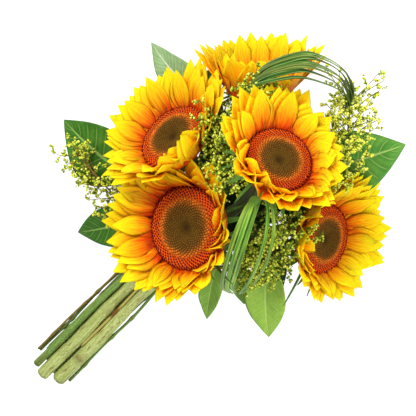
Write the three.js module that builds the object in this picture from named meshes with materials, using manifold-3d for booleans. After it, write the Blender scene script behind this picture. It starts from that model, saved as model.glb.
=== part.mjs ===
// A hand-tied bunch of five sunflowers with broad glossy leaves, sprays of small green-yellow buds and two
// loops of folded grass, lying on its side on a table. Millimetres, +X from the cut ends to the blooms, +Z up.
// The lengths below are set out from a point on the table under the tie, and the whole bunch is moved at the
// end so that the middle of its footprint is the origin.
import * as THREE from "three";
import { mergeVertices } from "three/addons/utils/BufferGeometryUtils.js";
import Module from "manifold-3d";

const wasm = await Module();
wasm.setup();

// ---- Driving dimensions ----

const CUT_END_X = -160; // where the stems are cut
const CUT_RAGGED = 9; // how unevenly they are cut
const SHORT_CUT = -60; // a stem cut above here is too short for a bend below the tie
const TIE_X = 20; // the tied neck, just under the front bloom
const TIE_LIFT = 14; // how far the tied neck stands above the line of the stems on the table
const END_SPREAD = 1.12; // the stems stand a little apart at their cut ends
const END_SINK = 0.9; // the lowest stems are flattened by this much where they lie on the table
const STEM_GROUND = 1.4; // and the axis of a thin one is never lower than this
const CLEARANCE = 0.3; // gap between pieces that touch

const PETALS_PER_ROW = 12;
const PETAL_WIDTH = 18;
const PETAL_THICKNESS = 1.5;
const PETAL_CUP = 0.3; // how much the edges of a petal are lifted, as a share of its half width
// The two rows of petals: where they leave the collar, beyond the disc and below its rim, how much more they
// stand up (degrees) and how long they are, as a share.
const PETAL_ROWS = [
  { beyond: 2.2, height: -6.4, rise: 0, size: 1 },
  { beyond: 0.5, height: -4.4, rise: 12, size: 0.9 },
];
const PETAL_STEEPEST = 78; // degrees
const PETAL_BENDS = [0, 8, -8, 16, -16, 24, 32, 40, 50, 60]; // degrees, tried in turn until a petal is clear
const BRACTS = 9;
const BRACT_LENGTH = 27;
const BRACT_HALF_WIDTH = 4.8;
const BRACT_THICKNESS = 1.6;
const BRACT_DROOPS = [0.3, 0.1, 0.6, 0.9]; // tried in turn after a drawn one
const RAY_RING_TOP = -3.4; // the collar that the petals grow from, below the rim of the disc
const RAY_RING_BOTTOM = -7.4;
const CALYX_TOP = RAY_RING_BOTTOM - CLEARANCE;
const CALYX_DEPTH = 9;
const NECK = [46, 30, 13]; // the points of a stem's bend behind the disc, by their distance from it
const DISC_SIDES = 20;
const DISC_RINGS = [1, 0.82, 0.64, 0.44, 0.22, 0]; // shares of its radius
const KNOB_UP = 0.7; // the disc is knobbed: every other corner is raised, the rest are lowered
const KNOB_DOWN = 0.5;
const LEAF_THICKNESS = 0.9;
const LEAF_FOLD = 0.16; // the rise of a leaf's edges from its midrib, as a share of its half width
const LEAF_WAVE = 1.2;
const LEAF_PITCHES = [0, -5, 5, -10, 10, -16, 16, -24, 24, 32]; // shifts of the tip, tried in turn
const LEAF_STEM_TAPER = 0.7;
const GRASS_WIDTH = 4.6;
const GRASS_THICKNESS = 1.1;
const BUD_RADIUS = 1.6;
const TWIG_RADIUS = 0.5;
const TWIG_SIZES = [1, 0.7, 0.45]; // tried in turn until a twig is clear
const SPRAY_TIP = 0.7; // radius of a spray's stalk at its end
const GRASS_BUTT = 3; // radius of a tuft of grass where its blades begin
const TIE_WIDTH = 9;
const TIE_THICKNESS = 1.8;
const TIE_SECTION = { low: -24.2, high: 20.9, foot: 13.9, head: 42.2, corner: 9.6 }; // inside, across and up
const GOLDEN_TURN = 2.39996; // radians

// Each bloom: the middle of its disc, the way it faces, its disc radius and petal length, how far its petals
// stand up, how much steeper they leave and end on the crowded side (fold, curl) and how much shorter they are
// there, the side where they are trimmed and by how much, then its stem: the radius, its place in the bundle
// (across, and height above the table) and the points on its way up.
const BLOOMS = [
  { name: "back", at: [229, -13, 150], faces: [0.788, 0.064, 0.6], disc: 27.5, petal: 43, rise: 36,
    fold: 30, curl: 46, short: 0.4, low: [0.64, -0.707, -0.3], trim: 0.3, stem: 5.8, bed: [-6.2, 5.6], cut: -166,
    way: [[60, -12, 27], [110, -17, 42], [152, -18, 70]] },
  { name: "front", at: [105, 2, 112], faces: [0.01, 0.38, 0.92], disc: 36, petal: 48, rise: 36,
    fold: 30, curl: 40, short: 0.5, low: [-0.3, -0.85, 0.2], trim: 0.25, stem: 6, bed: [0, 16.1], cut: -173,
    way: [[58, -8, 44]], crowd: [165, -60, 160] },
  { name: "right", at: [178, -92, 80], faces: [0.639, -0.615, 0.451], disc: 29.5, petal: 44, rise: 38,
    fold: 30, curl: 40, short: 0.5, low: [-0.64, -0.707, 0.3], trim: 0.3, stem: 6.3, bed: [-13.4, 16], cut: -164,
    way: [[60, -26, 38], [110, -44, 48]] },
  { name: "left", at: [153, 67, 100], faces: [0.283, 0.749, 0.607], disc: 31, petal: 44, rise: 30, fold: 30,
    curl: 50, short: 0.3, low: [-1, 0.1, 0], trim: 0.1, stem: 3.6,
    bed: [10.5, 15.5], cut: -170, way: [[60, 16, 40], [108, 24, 54]] },
  { name: "top", at: [232, 46, 63], faces: [0.738, 0.672, 0.02], disc: 26, petal: 46, rise: 50, fold: 36,
    curl: 60, short: 0.25, low: [0, 0, -1], trim: 0, stem: 5.8, bed: [6.2, 5.6], cut: -161,
    way: [[60, 6, 25], [120, 5, 36], [166, 5, 52]] },
];
const CROWN = [190, -10, 190]; // a point over the middle of the bunch, which the crowded petals lean to

// Each leafy stem: radius, place in the bundle, way up, and its leaves (base, tip, greatest width, arch).
const LEAFY = [
  { name: "left", stem: 1.6, bed: [17.2, 10.3], way: [[48, 28, 33], [57, 46, 41], [72, 74, 50]],
    leaves: [
      { base: [50, 34, 36], tip: [-33, 74, 32], width: 42, arch: 7 },
      { base: [72, 74, 50], tip: [66, 153, 53], width: 60, arch: 8 },
    ] },
  { name: "upper", stem: 1.4, bed: [13.2, 9.4],
    way: [[60, 26, 19], [110, 46, 24], [150, 62, 28], [170, 74, 31]],
    leaves: [{ base: [170, 74, 31], tip: [173, 144, 30], width: 34, arch: 8 }] },
  { name: "right", stem: 1.6, bed: [-17.7, 9.3],
    way: [[60, -30, 20], [110, -35, 24], [160, -39, 32], [205, -45, 41]],
    leaves: [{ base: [205, -45, 41], tip: [279, -83, 44], width: 60, arch: 8 }] },
  { name: "lower", stem: 1.6, bed: [-21.2, 12.2], way: [[62, -44, 36], [84, -60, 41], [98, -72, 45]],
    leaves: [
      { base: [62, -44, 36], tip: [11, -74, 29], width: 22, arch: 6 },
      { base: [84, -60, 41], tip: [53, -88, 34], width: 22, arch: 5 },
      { base: [102, -77, 44], tip: [49, -126, 38], width: 40, arch: 7 },
    ] },
  { name: "middle", stem: 1.2, bed: [0.2, 1.9], way: [[60, -2, 9], [80, -3, 10], [98, -4, 11]],
    leaves: [
      { base: [98, -4, 11], tip: [194, 42, 24], width: 58, arch: 5 },
      { base: [80, -3, 10], tip: [168, -46, 22], width: 54, arch: 5 },
    ] },
  { name: "under_right", stem: 1.6, bed: [-14.2, 4.4], way: [[60, -32, 13], [110, -46, 12], [140, -58, 12]],
    leaves: [
      { base: [140, -58, 12], tip: [206, -92, -0.3], width: 44, arch: 4 },
      { base: [108, -45, 12], tip: [78, -104, -0.3], width: 40, arch: 4 },
    ] },
  { name: "under_left", stem: 1.4, bed: [13.6, 4.4], way: [[60, 30, 12], [100, 44, 12], [126, 54, 12]],
    leaves: [
      { base: [126, 54, 12], tip: [186, 90, -0.4], width: 46, arch: 4 },
      { base: [100, 44, 12], tip: [88, 108, -0.4], width: 34, arch: 4 },
    ] },
];

// Each spray: radius, place in the bundle, way up, where along it the side twigs begin, how many there are,
// how far they reach and which way they lean.
const SPRAYS = [
  { name: "left", stem: 1.2, bed: [19, 13.5],
    way: [[44, 28, 47], [52, 58, 63], [60, 90, 76], [66, 120, 84]],
    from: 0.66, twigs: 10, reach: 34, lean: [-0.6, 0.6, 0.3] },
  { name: "centre", stem: 1.3, bed: [5.6, 21.4], cut: -4,
    way: [[52, 9, 50], [105, 8, 66], [150, 8, 94], [184, 10, 124]],
    from: 0.74, twigs: 11, reach: 30, lean: [0.1, 0.1, 0.9] },
  { name: "middle", stem: 1.2, bed: [8.6, 23], cut: 2,
    way: [[56, 14, 56], [108, 15, 70], [156, 16, 88], [200, 44, 114]],
    from: 0.78, twigs: 10, reach: 28, lean: [0.3, 0.3, 0.8] },
  { name: "upper", stem: 1.2, bed: [-0.8, 24.4], cut: -8,
    way: [[60, 2, 56], [110, -4, 70], [170, 4, 88], [222, 26, 108], [246, 40, 124]],
    from: 0.84, twigs: 8, reach: 24, lean: [0.5, 0.3, 0.6] },
  { name: "right", stem: 1.3, bed: [-6.9, 21.4], cut: -112,
    way: [[60, -20, 50], [110, -31, 58], [170, -40, 74], [225, -48, 82], [262, -40, 88], [290, -20, 97]],
    from: 0.72, twigs: 15, reach: 36, lean: [0.5, 0.1, 0.5] },
  { name: "front", stem: 1.2, bed: [-19.7, 21.7], cut: -2,
    way: [[60, -40, 50], [92, -56, 62], [120, -66, 80], [150, -66, 98], [178, -58, 112]],
    from: 0.6, twigs: 12, reach: 30, lean: [-0.1, -0.5, 0.7] },
];

// Each grass loop: a stalk in the bundle, then blades that arch over and turn back in, how many there are,
// the step from one to the next and the way their width lies.
const GRASS = [
  { name: "upper", stem: 1.3, bed: [12.4, 21.2], cut: 0,
    way: [[60, 23, 50], [112, 26, 66], [150, 24, 80], [206, 35, 92]],
    arch: [[221, 41, 98], [243, 47, 114], [267, 46, 130], [288, 38, 140], [303, 28, 143],
      [310, 13, 139], [310, -2, 130], [302, -15, 119], [288, -22, 107]],
    blades: 5, fan: [3.1, 1.5, -1.4], lift: [0.4, -0.3, 0.9], across: [0.27, -0.83, 0.48] },
  { name: "front", stem: 1.3, bed: [-12.5, 23.9], cut: -6,
    way: [[60, -26, 49], [100, -36, 64], [142, -30, 92], [172, -22, 116]],
    arch: [[180, -25, 125], [176, -29, 139], [161, -38, 147], [135, -49, 137], [105, -59, 113],
      [84, -66, 91], [76, -73, 76]],
    blades: 5, fan: [3.3, -3.8, -1.5], lift: [0.8, 0, 1.7], across: [0.64, -0.71, -0.3] },
];

// ---- Solids ----

// A fixed draw between 0 and 1 for piece i, use k.
const draw = (i, k) => {
  const x = Math.sin(i * 127.1 + k * 311.7) * 43758.5453;
  return x - Math.floor(x);
};
const vec = (a) => new THREE.Vector3(...a);
const mix = (a, b, t) => a + (b - a) * t;

// A closed geometry as a solid. Triangles that shrank to a line at a tip or an edge are left out.
function solidOf(geometry) {
  const bare = geometry.clone();
  bare.deleteAttribute("normal");
  bare.deleteAttribute("uv");
  const merged = mergeVertices(bare, 1e-4);
  const kept = [];
  const index = merged.index.array;
  for (let i = 0; i < index.length; i += 3) {
    const [a, b, c] = [index[i], index[i + 1], index[i + 2]];
    if (a !== b && b !== c && c !== a) kept.push(a, b, c);
  }
  return new wasm.Manifold(
    new wasm.Mesh({
      numProp: 3,
      vertProperties: merged.attributes.position.array,
      triVerts: new Uint32Array(kept),
    }),
  );
}

// The pieces, each a list of solids that are fused at the end, under the name of the piece.
const pieces = new Map();
const table = solidOf(new THREE.BoxGeometry(900, 900, 100).translate(0, 0, -50));

function add(name, solid) {
  const box = solid.boundingBox();
  pieces.set(name, [...(pieces.get(name) ?? []), { solid, box }]);
}

// True if a solid shares no space with any other piece than its own.
function isClear(name, solid, others = []) {
  const box = solid.boundingBox();
  const meets = (other) =>
    [0, 1, 2].every((k) => box.min[k] < other.box.max[k] && other.box.min[k] < box.max[k]) &&
    solid.intersect(other.solid).volume() > 1e-3;
  if (others.some((other) => solid.intersect(other).volume() > 1e-3)) return false;
  return [...pieces].every(([other, solids]) => other === name || !solids.some(meets));
}

// The piece as one body: scraps that cutting left loose are dropped.
function fused(name) {
  const whole = pieces.get(name).map(({ solid }) => solid).reduce((sum, next) => sum.add(next));
  const trimmed = whole.boundingBox().min[2] < 0 ? whole.subtract(table) : whole;
  return trimmed.decompose().reduce((best, next) => (next.volume() > best.volume() ? next : best));
}

// A tube round a line of points, with a radius at each point and flat ends.
function tube(points, radii, sides) {
  const geometry = new THREE.CylinderGeometry(1, 1, 1, sides, points.length - 1);
  const line = new THREE.CatmullRomCurve3(points);
  const frames = line.computeFrenetFrames(points.length - 1, false);
  const at = geometry.attributes.position;
  for (let i = 0; i < at.count; i++) {
    const ring = Math.round((0.5 - at.getY(i)) * (points.length - 1));
    const spot = points[ring].clone();
    spot.addScaledVector(frames.normals[ring], at.getX(i) * radii[ring]);
    spot.addScaledVector(frames.binormals[ring], -at.getZ(i) * radii[ring]);
    at.setXYZ(i, spot.x, spot.y, spot.z);
  }
  const made = solidOf(geometry);
  if (made.volume() > 0) return made;
  geometry.setIndex([...geometry.index.array].reverse());
  return solidOf(geometry);
}

// A thin blade: a flat grid laid on middle(s, t), s along from 0 to 1 and t across from -1 to 1, with
// half(s, t) of thickness on each side. Both faces are cut into the same triangles.
function blade(middle, half, along, across) {
  const grid = new THREE.PlaneGeometry(2, 1, across, along);
  const flat = grid.attributes.position;
  const count = flat.count;
  const spots = new Float32Array(count * 6);
  const step = 0.01;
  for (let i = 0; i < count; i++) {
    const t = flat.getX(i);
    const s = 0.5 - flat.getY(i);
    const inner = Math.min(s, 0.97);
    const ds = middle(inner + step, t).sub(middle(inner - step, t));
    const dt = middle(inner, t + step).sub(middle(inner, t - step));
    const up = ds.cross(dt).normalize().multiplyScalar(half(s, t));
    const spot = middle(s, t);
    spots.set([spot.x + up.x, spot.y + up.y, spot.z + up.z], i * 3);
    spots.set([spot.x - up.x, spot.y - up.y, spot.z - up.z], (count + i) * 3);
  }
  const top = [...grid.index.array];
  const bottom = [];
  for (let i = 0; i < top.length; i += 3) bottom.push(top[i] + count, top[i + 2] + count, top[i + 1] + count);
  const rim = [];
  const row = across + 1;
  for (let i = 0; i <= across; i++) rim.push(i);
  for (let j = 1; j <= along; j++) rim.push(j * row + across);
  for (let i = across - 1; i >= 0; i--) rim.push(along * row + i);
  for (let j = along - 1; j >= 1; j--) rim.push(j * row);
  const wall = rim.flatMap((a, i) => {
    const b = rim[(i + 1) % rim.length];
    return [a, b, b + count, a, b + count, a + count];
  });
  const closed = (order) => {
    const geometry = new THREE.BufferGeometry();
    geometry.setAttribute("position", new THREE.BufferAttribute(spots, 3));
    geometry.setIndex(order);
    return solidOf(geometry);
  };
  const faces = [...top, ...bottom, ...wall];
  const made = closed(faces);
  return made.volume() > 0 ? made : closed(faces.reverse());
}

// A solid of revolution about Z from (radius, height) pairs that go round counter-clockwise.
function turned(profile, segments) {
  const geometry = new THREE.LatheGeometry(profile.map(([r, z]) => new THREE.Vector2(r, z)), segments);
  geometry.rotateX(Math.PI / 2);
  const made = solidOf(geometry);
  if (made.volume() > 0) return made;
  geometry.setIndex([...geometry.index.array].reverse());
  return solidOf(geometry);
}

// ---- Stems in the bundle ----

// The line of a stem: from its cut end through the tie, then along its own way.
function stemLine({ bed, way, cut = CUT_END_X + CUT_RAGGED * draw(bed[0], bed[1]) }) {
  const [across, up] = bed;
  const longest = CUT_END_X + CUT_RAGGED;
  const endHeight = Math.max(up - END_SINK, STEM_GROUND);
  const below = (x) => {
    const share = Math.max(0, (x - longest) / (TIE_X - longest));
    return new THREE.Vector3(x, across * mix(END_SPREAD, 1, share), mix(endHeight, up + TIE_LIFT, share));
  };
  const middle = new THREE.Vector3().addVectors(below(cut), below(TIE_X)).multiplyScalar(0.5);
  return [
    below(cut),
    ...(cut < SHORT_CUT ? [middle] : []),
    new THREE.Vector3(TIE_X - TIE_WIDTH, across, up + TIE_LIFT - 0.4),
    new THREE.Vector3(TIE_X + TIE_WIDTH, across, up + TIE_LIFT + 0.4),
    ...way.map(vec),
  ];
}

function stemTube(line, radius, sides, steps, tipRadius = radius) {
  const curve = new THREE.CatmullRomCurve3(line, false, "centripetal");
  const points = curve.getSpacedPoints(steps);
  return tube(points, points.map((_, i) => mix(radius, tipRadius, i / steps)), sides);
}

// ---- Sunflowers ----

// The frame of a bloom: Z the way it faces, X to the side that is crowded by the other blooms.
function bloomFrame(bloom) {
  const facing = vec(bloom.faces).normalize();
  const toCrown = vec(bloom.crowd ?? CROWN).sub(vec(bloom.at));
  const side = toCrown.addScaledVector(facing, -toCrown.dot(facing)).normalize();
  const across = facing.clone().cross(side);
  return new THREE.Matrix4().makeBasis(side, across, facing).setPosition(vec(bloom.at));
}

// How wide a petal is at s along it, as a share: narrow at its foot, widest at the middle, pointed at its tip.
const petalOutline = (s) => Math.sin(Math.PI * Math.min(0.13 + 0.87 * s, 1) ** 1.15) ** 0.85 || 0;

// The middle of one petal. It rises from the ring at one angle and leaves off at another, and it leans
// further over the disc on the crowded side. It is shorter there and on the trimmed side.
function petalMiddle(bloom, low, seed, row, place, bend) {
  const turn = ((place + 0.3 * (draw(seed, 1) - 0.5)) / PETALS_PER_ROW) * 2 * Math.PI;
  const crowding = Math.max(0, Math.cos(turn)) ** 1.5;
  const rise = bloom.rise + row.rise;
  const foot = Math.min(rise + bloom.fold * crowding + 6 * (draw(seed, 2) - 0.5) + bend, PETAL_STEEPEST);
  const tip = rise + bloom.curl * crowding + 16 * (draw(seed, 3) - 0.5) + bend;
  const out = new THREE.Vector3(Math.cos(turn), Math.sin(turn), 0);
  const round = new THREE.Vector3(-Math.sin(turn), Math.cos(turn), 0);
  const length = bloom.petal * row.size * mix(0.88, 1.08, draw(seed, 4))
    * (1 - bloom.short * crowding) * (1 - bloom.trim * Math.max(0, out.dot(low)));
  const sway = 0.14 * (draw(seed, 5) - 0.5) * length;
  const roll = 0.5 * (draw(seed, 6) - 0.5);
  return (s, t) => {
    // the angle changes evenly along the petal, so its place is a sum of short steps
    const n = 6;
    let radius = bloom.disc + row.beyond;
    let height = row.height;
    for (let i = 0; i < n; i++) {
      const angle = THREE.MathUtils.degToRad(mix(foot, tip, ((i + 0.5) / n) * s));
      radius += (Math.cos(angle) * length * s) / n;
      height += (Math.sin(angle) * length * s) / n;
    }
    const angle = THREE.MathUtils.degToRad(mix(foot, tip, s));
    const half = (PETAL_WIDTH / 2) * petalOutline(s);
    const tilt = roll * s;
    const lift = half * (PETAL_CUP * Math.abs(t) + Math.sin(tilt) * t);
    return out.clone().multiplyScalar(radius - Math.sin(angle) * lift)
      .addScaledVector(round, half * t * Math.cos(tilt) + sway * s * s)
      .add(new THREE.Vector3(0, 0, height + Math.cos(angle) * lift));
  };
}

// A blade's thickness, brought down to nothing at its tip.
const thinned = (half) => (s, t) => half(s, t) * (1 - s ** 8);

// The yellow part: a collar under the rim of the disc, with two rows of petals let into it. A petal that
// would cross another piece is bent until it clears it.
function addPetals(bloom, number) {
  const name = `sunflower_${bloom.name}_petals`;
  const frame = bloomFrame(bloom);
  const low = vec(bloom.low).transformDirection(frame.clone().invert()).setZ(0).normalize();
  PETAL_ROWS.forEach((row, i) => {
    for (let k = 0; k < PETALS_PER_ROW; k++) {
      const seed = number * 100 + i * 40 + k + 1;
      const petal = (bend, spare) => {
        const half = (s, t) => ((1 - t * t) * mix(1, 0.6, s) * PETAL_THICKNESS) / 2 + spare;
        const middle = petalMiddle(bloom, low, seed, row, k + i / 2, bend);
        return blade(middle, spare ? half : thinned(half), 4, 2).transform(frame.elements);
      };
      const bend = PETAL_BENDS.find((b) => isClear(name, petal(b, CLEARANCE), [table]));
      if (bend !== undefined) add(name, petal(bend, 0));
    }
  });
}

function addCollar(bloom) {
  const inner = bloom.disc - 8;
  const collar = turned(
    [[inner, RAY_RING_BOTTOM], [bloom.disc + 3.6, RAY_RING_BOTTOM], [bloom.disc + 3.2, RAY_RING_TOP],
      [inner, RAY_RING_TOP], [inner, RAY_RING_BOTTOM]], 12);
  add(`sunflower_${bloom.name}_petals`, collar.transform(bloomFrame(bloom).elements));
}

// How high the disc is at a share of its radius: a raised ring, lower in the middle.
const dish = (share) =>
  2.4 * Math.sin(Math.PI * Math.min(1, share * 1.02)) ** 2 - 2.2 * (1 - share) ** 2 + 0.6;

// The disc: a shallow dish with a raised ring of florets, its surface knobbed by a formula.
function addDisc(bloom) {
  const top = bloom.disc * 0.97;
  const bottom = RAY_RING_TOP + CLEARANCE;
  const outline = [[0, bottom], [top * 0.96, bottom], ...DISC_RINGS.map((r) => [top * r, dish(r)])];
  const geometry = new THREE.LatheGeometry(outline.map(([r, z]) => new THREE.Vector2(r, z)), DISC_SIDES);
  geometry.rotateX(Math.PI / 2);
  const at = geometry.attributes.position;
  for (let i = 0; i < at.count; i++) {
    const radius = Math.hypot(at.getX(i), at.getY(i)) / top;
    const turn = Math.round((Math.atan2(at.getY(i), at.getX(i)) / (2 * Math.PI)) * DISC_SIDES);
    const ring = DISC_RINGS.findIndex((r) => Math.abs(r - radius) < 0.01);
    if (ring > 0 && radius > 0.1 && at.getZ(i) > -1) {
      at.setZ(i, at.getZ(i) + ((turn + ring) % 2 ? KNOB_UP : -KNOB_DOWN));
    }
  }
  add(`sunflower_${bloom.name}_disc`, solidOf(geometry).transform(bloomFrame(bloom).elements));
}

// The green part: the stem and the cup under the bloom.
function addStemAndCup(bloom) {
  const name = `sunflower_${bloom.name}_stem`;
  const facing = vec(bloom.faces).normalize();
  const neck = NECK.map((depth) => vec(bloom.at).addScaledVector(facing, -depth));
  add(name, stemTube([...stemLine(bloom), ...neck], bloom.stem, 7, 11, bloom.stem * 0.86));
  const rim = bloom.disc - 2;
  const cup = turned(
    [[0, CALYX_TOP - CALYX_DEPTH - 7], [bloom.stem + 1.5, CALYX_TOP - CALYX_DEPTH - 5],
      [rim * 0.75, CALYX_TOP - CALYX_DEPTH * 0.5], [rim, CALYX_TOP], [0, CALYX_TOP]], 10);
  add(name, cup.transform(bloomFrame(bloom).elements));
}

// The long pointed bracts round the cup; one that would cross another piece is bent, or left out.
function addBracts(bloom, number) {
  const name = `sunflower_${bloom.name}_stem`;
  const frame = bloomFrame(bloom);
  for (let k = 0; k < BRACTS; k++) {
    const seed = number * 100 + 80 + k;
    const turn = ((k + 0.5 + 0.3 * (draw(seed, 1) - 0.5)) / BRACTS) * 2 * Math.PI;
    const out = new THREE.Vector3(Math.cos(turn), Math.sin(turn), 0);
    const round = new THREE.Vector3(-Math.sin(turn), Math.cos(turn), 0);
    const length = BRACT_LENGTH * mix(0.85, 1.15, draw(seed, 2));
    const bract = (droop, spare) => {
      const middle = (s, t) =>
        out.clone().multiplyScalar(bloom.disc - 10 + length * s * (1 - 0.25 * droop * s))
          .addScaledVector(round, t * BRACT_HALF_WIDTH * (1 - s) ** 0.8 * (0.7 + 0.6 * s))
          .addScaledVector(round, 2 * (draw(seed, 4) - 0.5) * s * s)
          .add(new THREE.Vector3(0, 0, CALYX_TOP - 3.6 - length * (0.1 * s + droop * s * s) + 0.9 * t * t));
      const half = (s, t) => (BRACT_THICKNESS / 2) * (1 - t * t) * (1 - 0.4 * s) + spare;
      return blade(middle, spare ? half : thinned(half), 2, 2).transform(frame.elements);
    };
    const droops = [mix(0.1, 0.5, draw(seed, 3)), ...BRACT_DROOPS];
    const droop = droops.find((d) => isClear(name, bract(d, CLEARANCE), [table]));
    if (droop !== undefined) add(name, bract(droop, 0));
  }
}

// ---- Leaves ----

const leafOutline = (s) => Math.sin(Math.PI * (0.03 + 0.97 * s) ** 0.82) ** 0.95 || 0;

// The middle of a leaf between its base and its tip, arched, folded a little along its midrib, its edge waved.
function leafMiddle(leaf, pitch, seed) {
  const tip = vec(leaf.tip).setZ(leaf.tip[2] + pitch);
  const base = vec(leaf.base).addScaledVector(tip.clone().sub(vec(leaf.base)).normalize(), -4);
  const along = tip.clone().sub(base);
  const side = along.clone().cross(new THREE.Vector3(0, 0, 1)).normalize();
  const up = side.clone().cross(along).normalize();
  return (s, t) => {
    const half = (leaf.width / 2) * leafOutline(s);
    const wave = LEAF_WAVE * Math.sin(9 * s + seed) * t * t * leafOutline(s);
    const rise = leaf.arch * Math.sin(Math.PI * s) + LEAF_FOLD * half * Math.abs(t) + wave;
    return base.clone().addScaledVector(along, s).addScaledVector(side, half * t).addScaledVector(up, rise);
  };
}

function addLeaves(plant, number) {
  const name = `leafy_stem_${plant.name}`;
  plant.leaves.forEach((leaf, k) => {
    const made = (pitch, spare) =>
      blade(leafMiddle(leaf, pitch, number * 10 + k), () => LEAF_THICKNESS / 2 + spare, 7, 2);
    const pitch = LEAF_PITCHES.find((p) => isClear(name, made(p, CLEARANCE)));
    if (pitch !== undefined) add(name, made(pitch, 0));
  });
}

// ---- Sprays of buds ----

// A side twig: a thin line that swells into a bud at every other ring, the buds set to alternate sides.
function budTwig(from, direction, length, buds, seed) {
  const side = new THREE.Vector3(draw(seed, 7) - 0.5, draw(seed, 8) - 0.5, draw(seed, 9) - 0.5)
    .cross(direction).normalize();
  const points = [];
  const radii = [];
  const rings = buds * 2;
  for (let i = 0; i <= rings; i++) {
    const bud = i % 2 === 1 || i === rings;
    const s = i === 0 ? 0 : mix(0.3, 1, i / rings);
    const spot = from.clone().addScaledVector(direction, length * s);
    spot.addScaledVector(side, bud ? 1.1 * (i % 4 === 1 ? 1 : -1) : 0);
    spot.z -= 0.08 * length * s * s;
    points.push(spot);
    radii.push(i === rings ? 0.9 : bud ? BUD_RADIUS * mix(0.8, 1.15, draw(seed, 20 + i)) : TWIG_RADIUS);
  }
  return tube(points, radii, 3);
}

function addTwigs(plant, number) {
  const name = `bud_spray_${plant.name}`;
  const curve = new THREE.CatmullRomCurve3(stemLine(plant), false, "centripetal");
  const lean = vec(plant.lean).normalize();
  for (let k = 0; k < plant.twigs; k++) {
    const seed = number * 50 + k;
    const share = (k + 0.5) / plant.twigs;
    const from = curve.getPointAt(mix(plant.from, 0.995, share));
    const tangent = curve.getTangentAt(mix(plant.from, 0.99, share));
    const turn = k * GOLDEN_TURN;
    const a = new THREE.Vector3(0, 0, 1).cross(tangent).normalize();
    const b = tangent.clone().cross(a);
    const direction = tangent.clone().multiplyScalar(0.45).addScaledVector(lean, 0.5)
      .addScaledVector(a, 0.85 * Math.cos(turn)).addScaledVector(b, 0.85 * Math.sin(turn)).normalize();
    const length = plant.reach * mix(0.65, 1.05, draw(seed, 2)) * (1 - 0.3 * share);
    const twig = TWIG_SIZES
      .map((size) => budTwig(from, direction, length * size, size > 0.5 ? 3 : 2, seed))
      .find((solid) => isClear(name, solid));
    if (twig) add(name, twig);
  }
}

// ---- Grass loops ----

function addGrass(plant, number) {
  const name = `grass_loop_${plant.name}`;
  const arch = plant.arch.map(vec);
  const end = arch.length - 1;
  const top = arch[Math.floor(end / 2)];
  const wide = vec(plant.across);
  for (let k = 0; k < plant.blades; k++) {
    const seed = number * 30 + k;
    const shift = vec(plant.fan).multiplyScalar(k - (plant.blades - 1) / 2);
    const swell = 0.1 * (draw(seed, 1) - 0.5);
    const line = arch.map((p, i) => {
      const open = mix(0.45, 1, Math.sin((Math.PI * i) / end));
      return p.clone().addScaledVector(shift, open).addScaledVector(p.clone().sub(top), swell * open)
        .addScaledVector(vec(plant.lift), (k % 2) * open);
    });
    line.unshift(line[0].clone().addScaledVector(line[1].clone().sub(line[0]).normalize(), -4));
    const curve = new THREE.CatmullRomCurve3(line, false, "centripetal");
    const middle = (s, t) => {
      const u = THREE.MathUtils.clamp(s, 0, 1);
      const half = (GRASS_WIDTH / 2) * Math.min(1, 0.3 + 4 * s, 0.4 + 4 * (1 - s));
      const tangent = curve.getTangent(u);
      const side = wide.clone().addScaledVector(tangent, -wide.dot(tangent)).normalize();
      return curve.getPoint(u).addScaledVector(tangent, (s - u) * 50).addScaledVector(side, half * t);
    };
    const made = blade(middle, (s, t) => (GRASS_THICKNESS / 2) * (1 - t * t), 12, 2);
    if (isClear(name, made)) add(name, made);
  }
}

// ---- Tie ----

// A band of wound twine round all the stems, just off their outermost ones.
function addTie() {
  const { low, high, foot, head, corner } = TIE_SECTION;
  const outline = (grow) => {
    const shape = new THREE.Shape();
    const [l, h, b, t, r] = [low - grow, high + grow, foot - grow, head + grow, corner + grow];
    shape.moveTo(l + r, b).lineTo(h - r, b).absarc(h - r, b + r, r, -Math.PI / 2, 0, false);
    shape.lineTo(h, t - r).absarc(h - r, t - r, r, 0, Math.PI / 2, false);
    shape.lineTo(l + r, t).absarc(l + r, t - r, r, Math.PI / 2, Math.PI, false);
    shape.lineTo(l, b + r).absarc(l + r, b + r, r, Math.PI, 1.5 * Math.PI, false);
    return shape;
  };
  const band = outline(TIE_THICKNESS);
  band.holes.push(outline(0));
  const geometry = new THREE.ExtrudeGeometry(band, { depth: TIE_WIDTH, bevelEnabled: false, curveSegments: 2 });
  const toPlace = new THREE.Matrix4().makeBasis(
    new THREE.Vector3(0, 1, 0), new THREE.Vector3(0, 0, 1), new THREE.Vector3(1, 0, 0))
    .setPosition(TIE_X - TIE_WIDTH / 2, 0, 0);
  add("tie_band", solidOf(geometry).transform(toPlace.elements));
}

// ---- The bunch ----

addTie();
BLOOMS.forEach(addStemAndCup);
BLOOMS.forEach(addDisc);
BLOOMS.forEach(addCollar);
for (const plant of LEAFY) {
  add(`leafy_stem_${plant.name}`, stemTube(stemLine(plant), plant.stem, 4, 10, plant.stem * LEAF_STEM_TAPER));
}
for (const plant of SPRAYS) {
  add(`bud_spray_${plant.name}`, stemTube(stemLine(plant), plant.stem, 4, 10, SPRAY_TIP));
}
for (const plant of GRASS) {
  const line = [...stemLine(plant), vec(plant.arch[0])];
  add(`grass_loop_${plant.name}`, stemTube(line, plant.stem, 4, 11, GRASS_BUTT));
}
BLOOMS.forEach((bloom, i) => addPetals(bloom, i + 1));
GRASS.forEach((plant, i) => addGrass(plant, i + 1));
LEAFY.forEach((plant, i) => addLeaves(plant, i + 1));
BLOOMS.forEach((bloom, i) => addBracts(bloom, i + 1));
SPRAYS.forEach((plant, i) => addTwigs(plant, i + 1));

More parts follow.
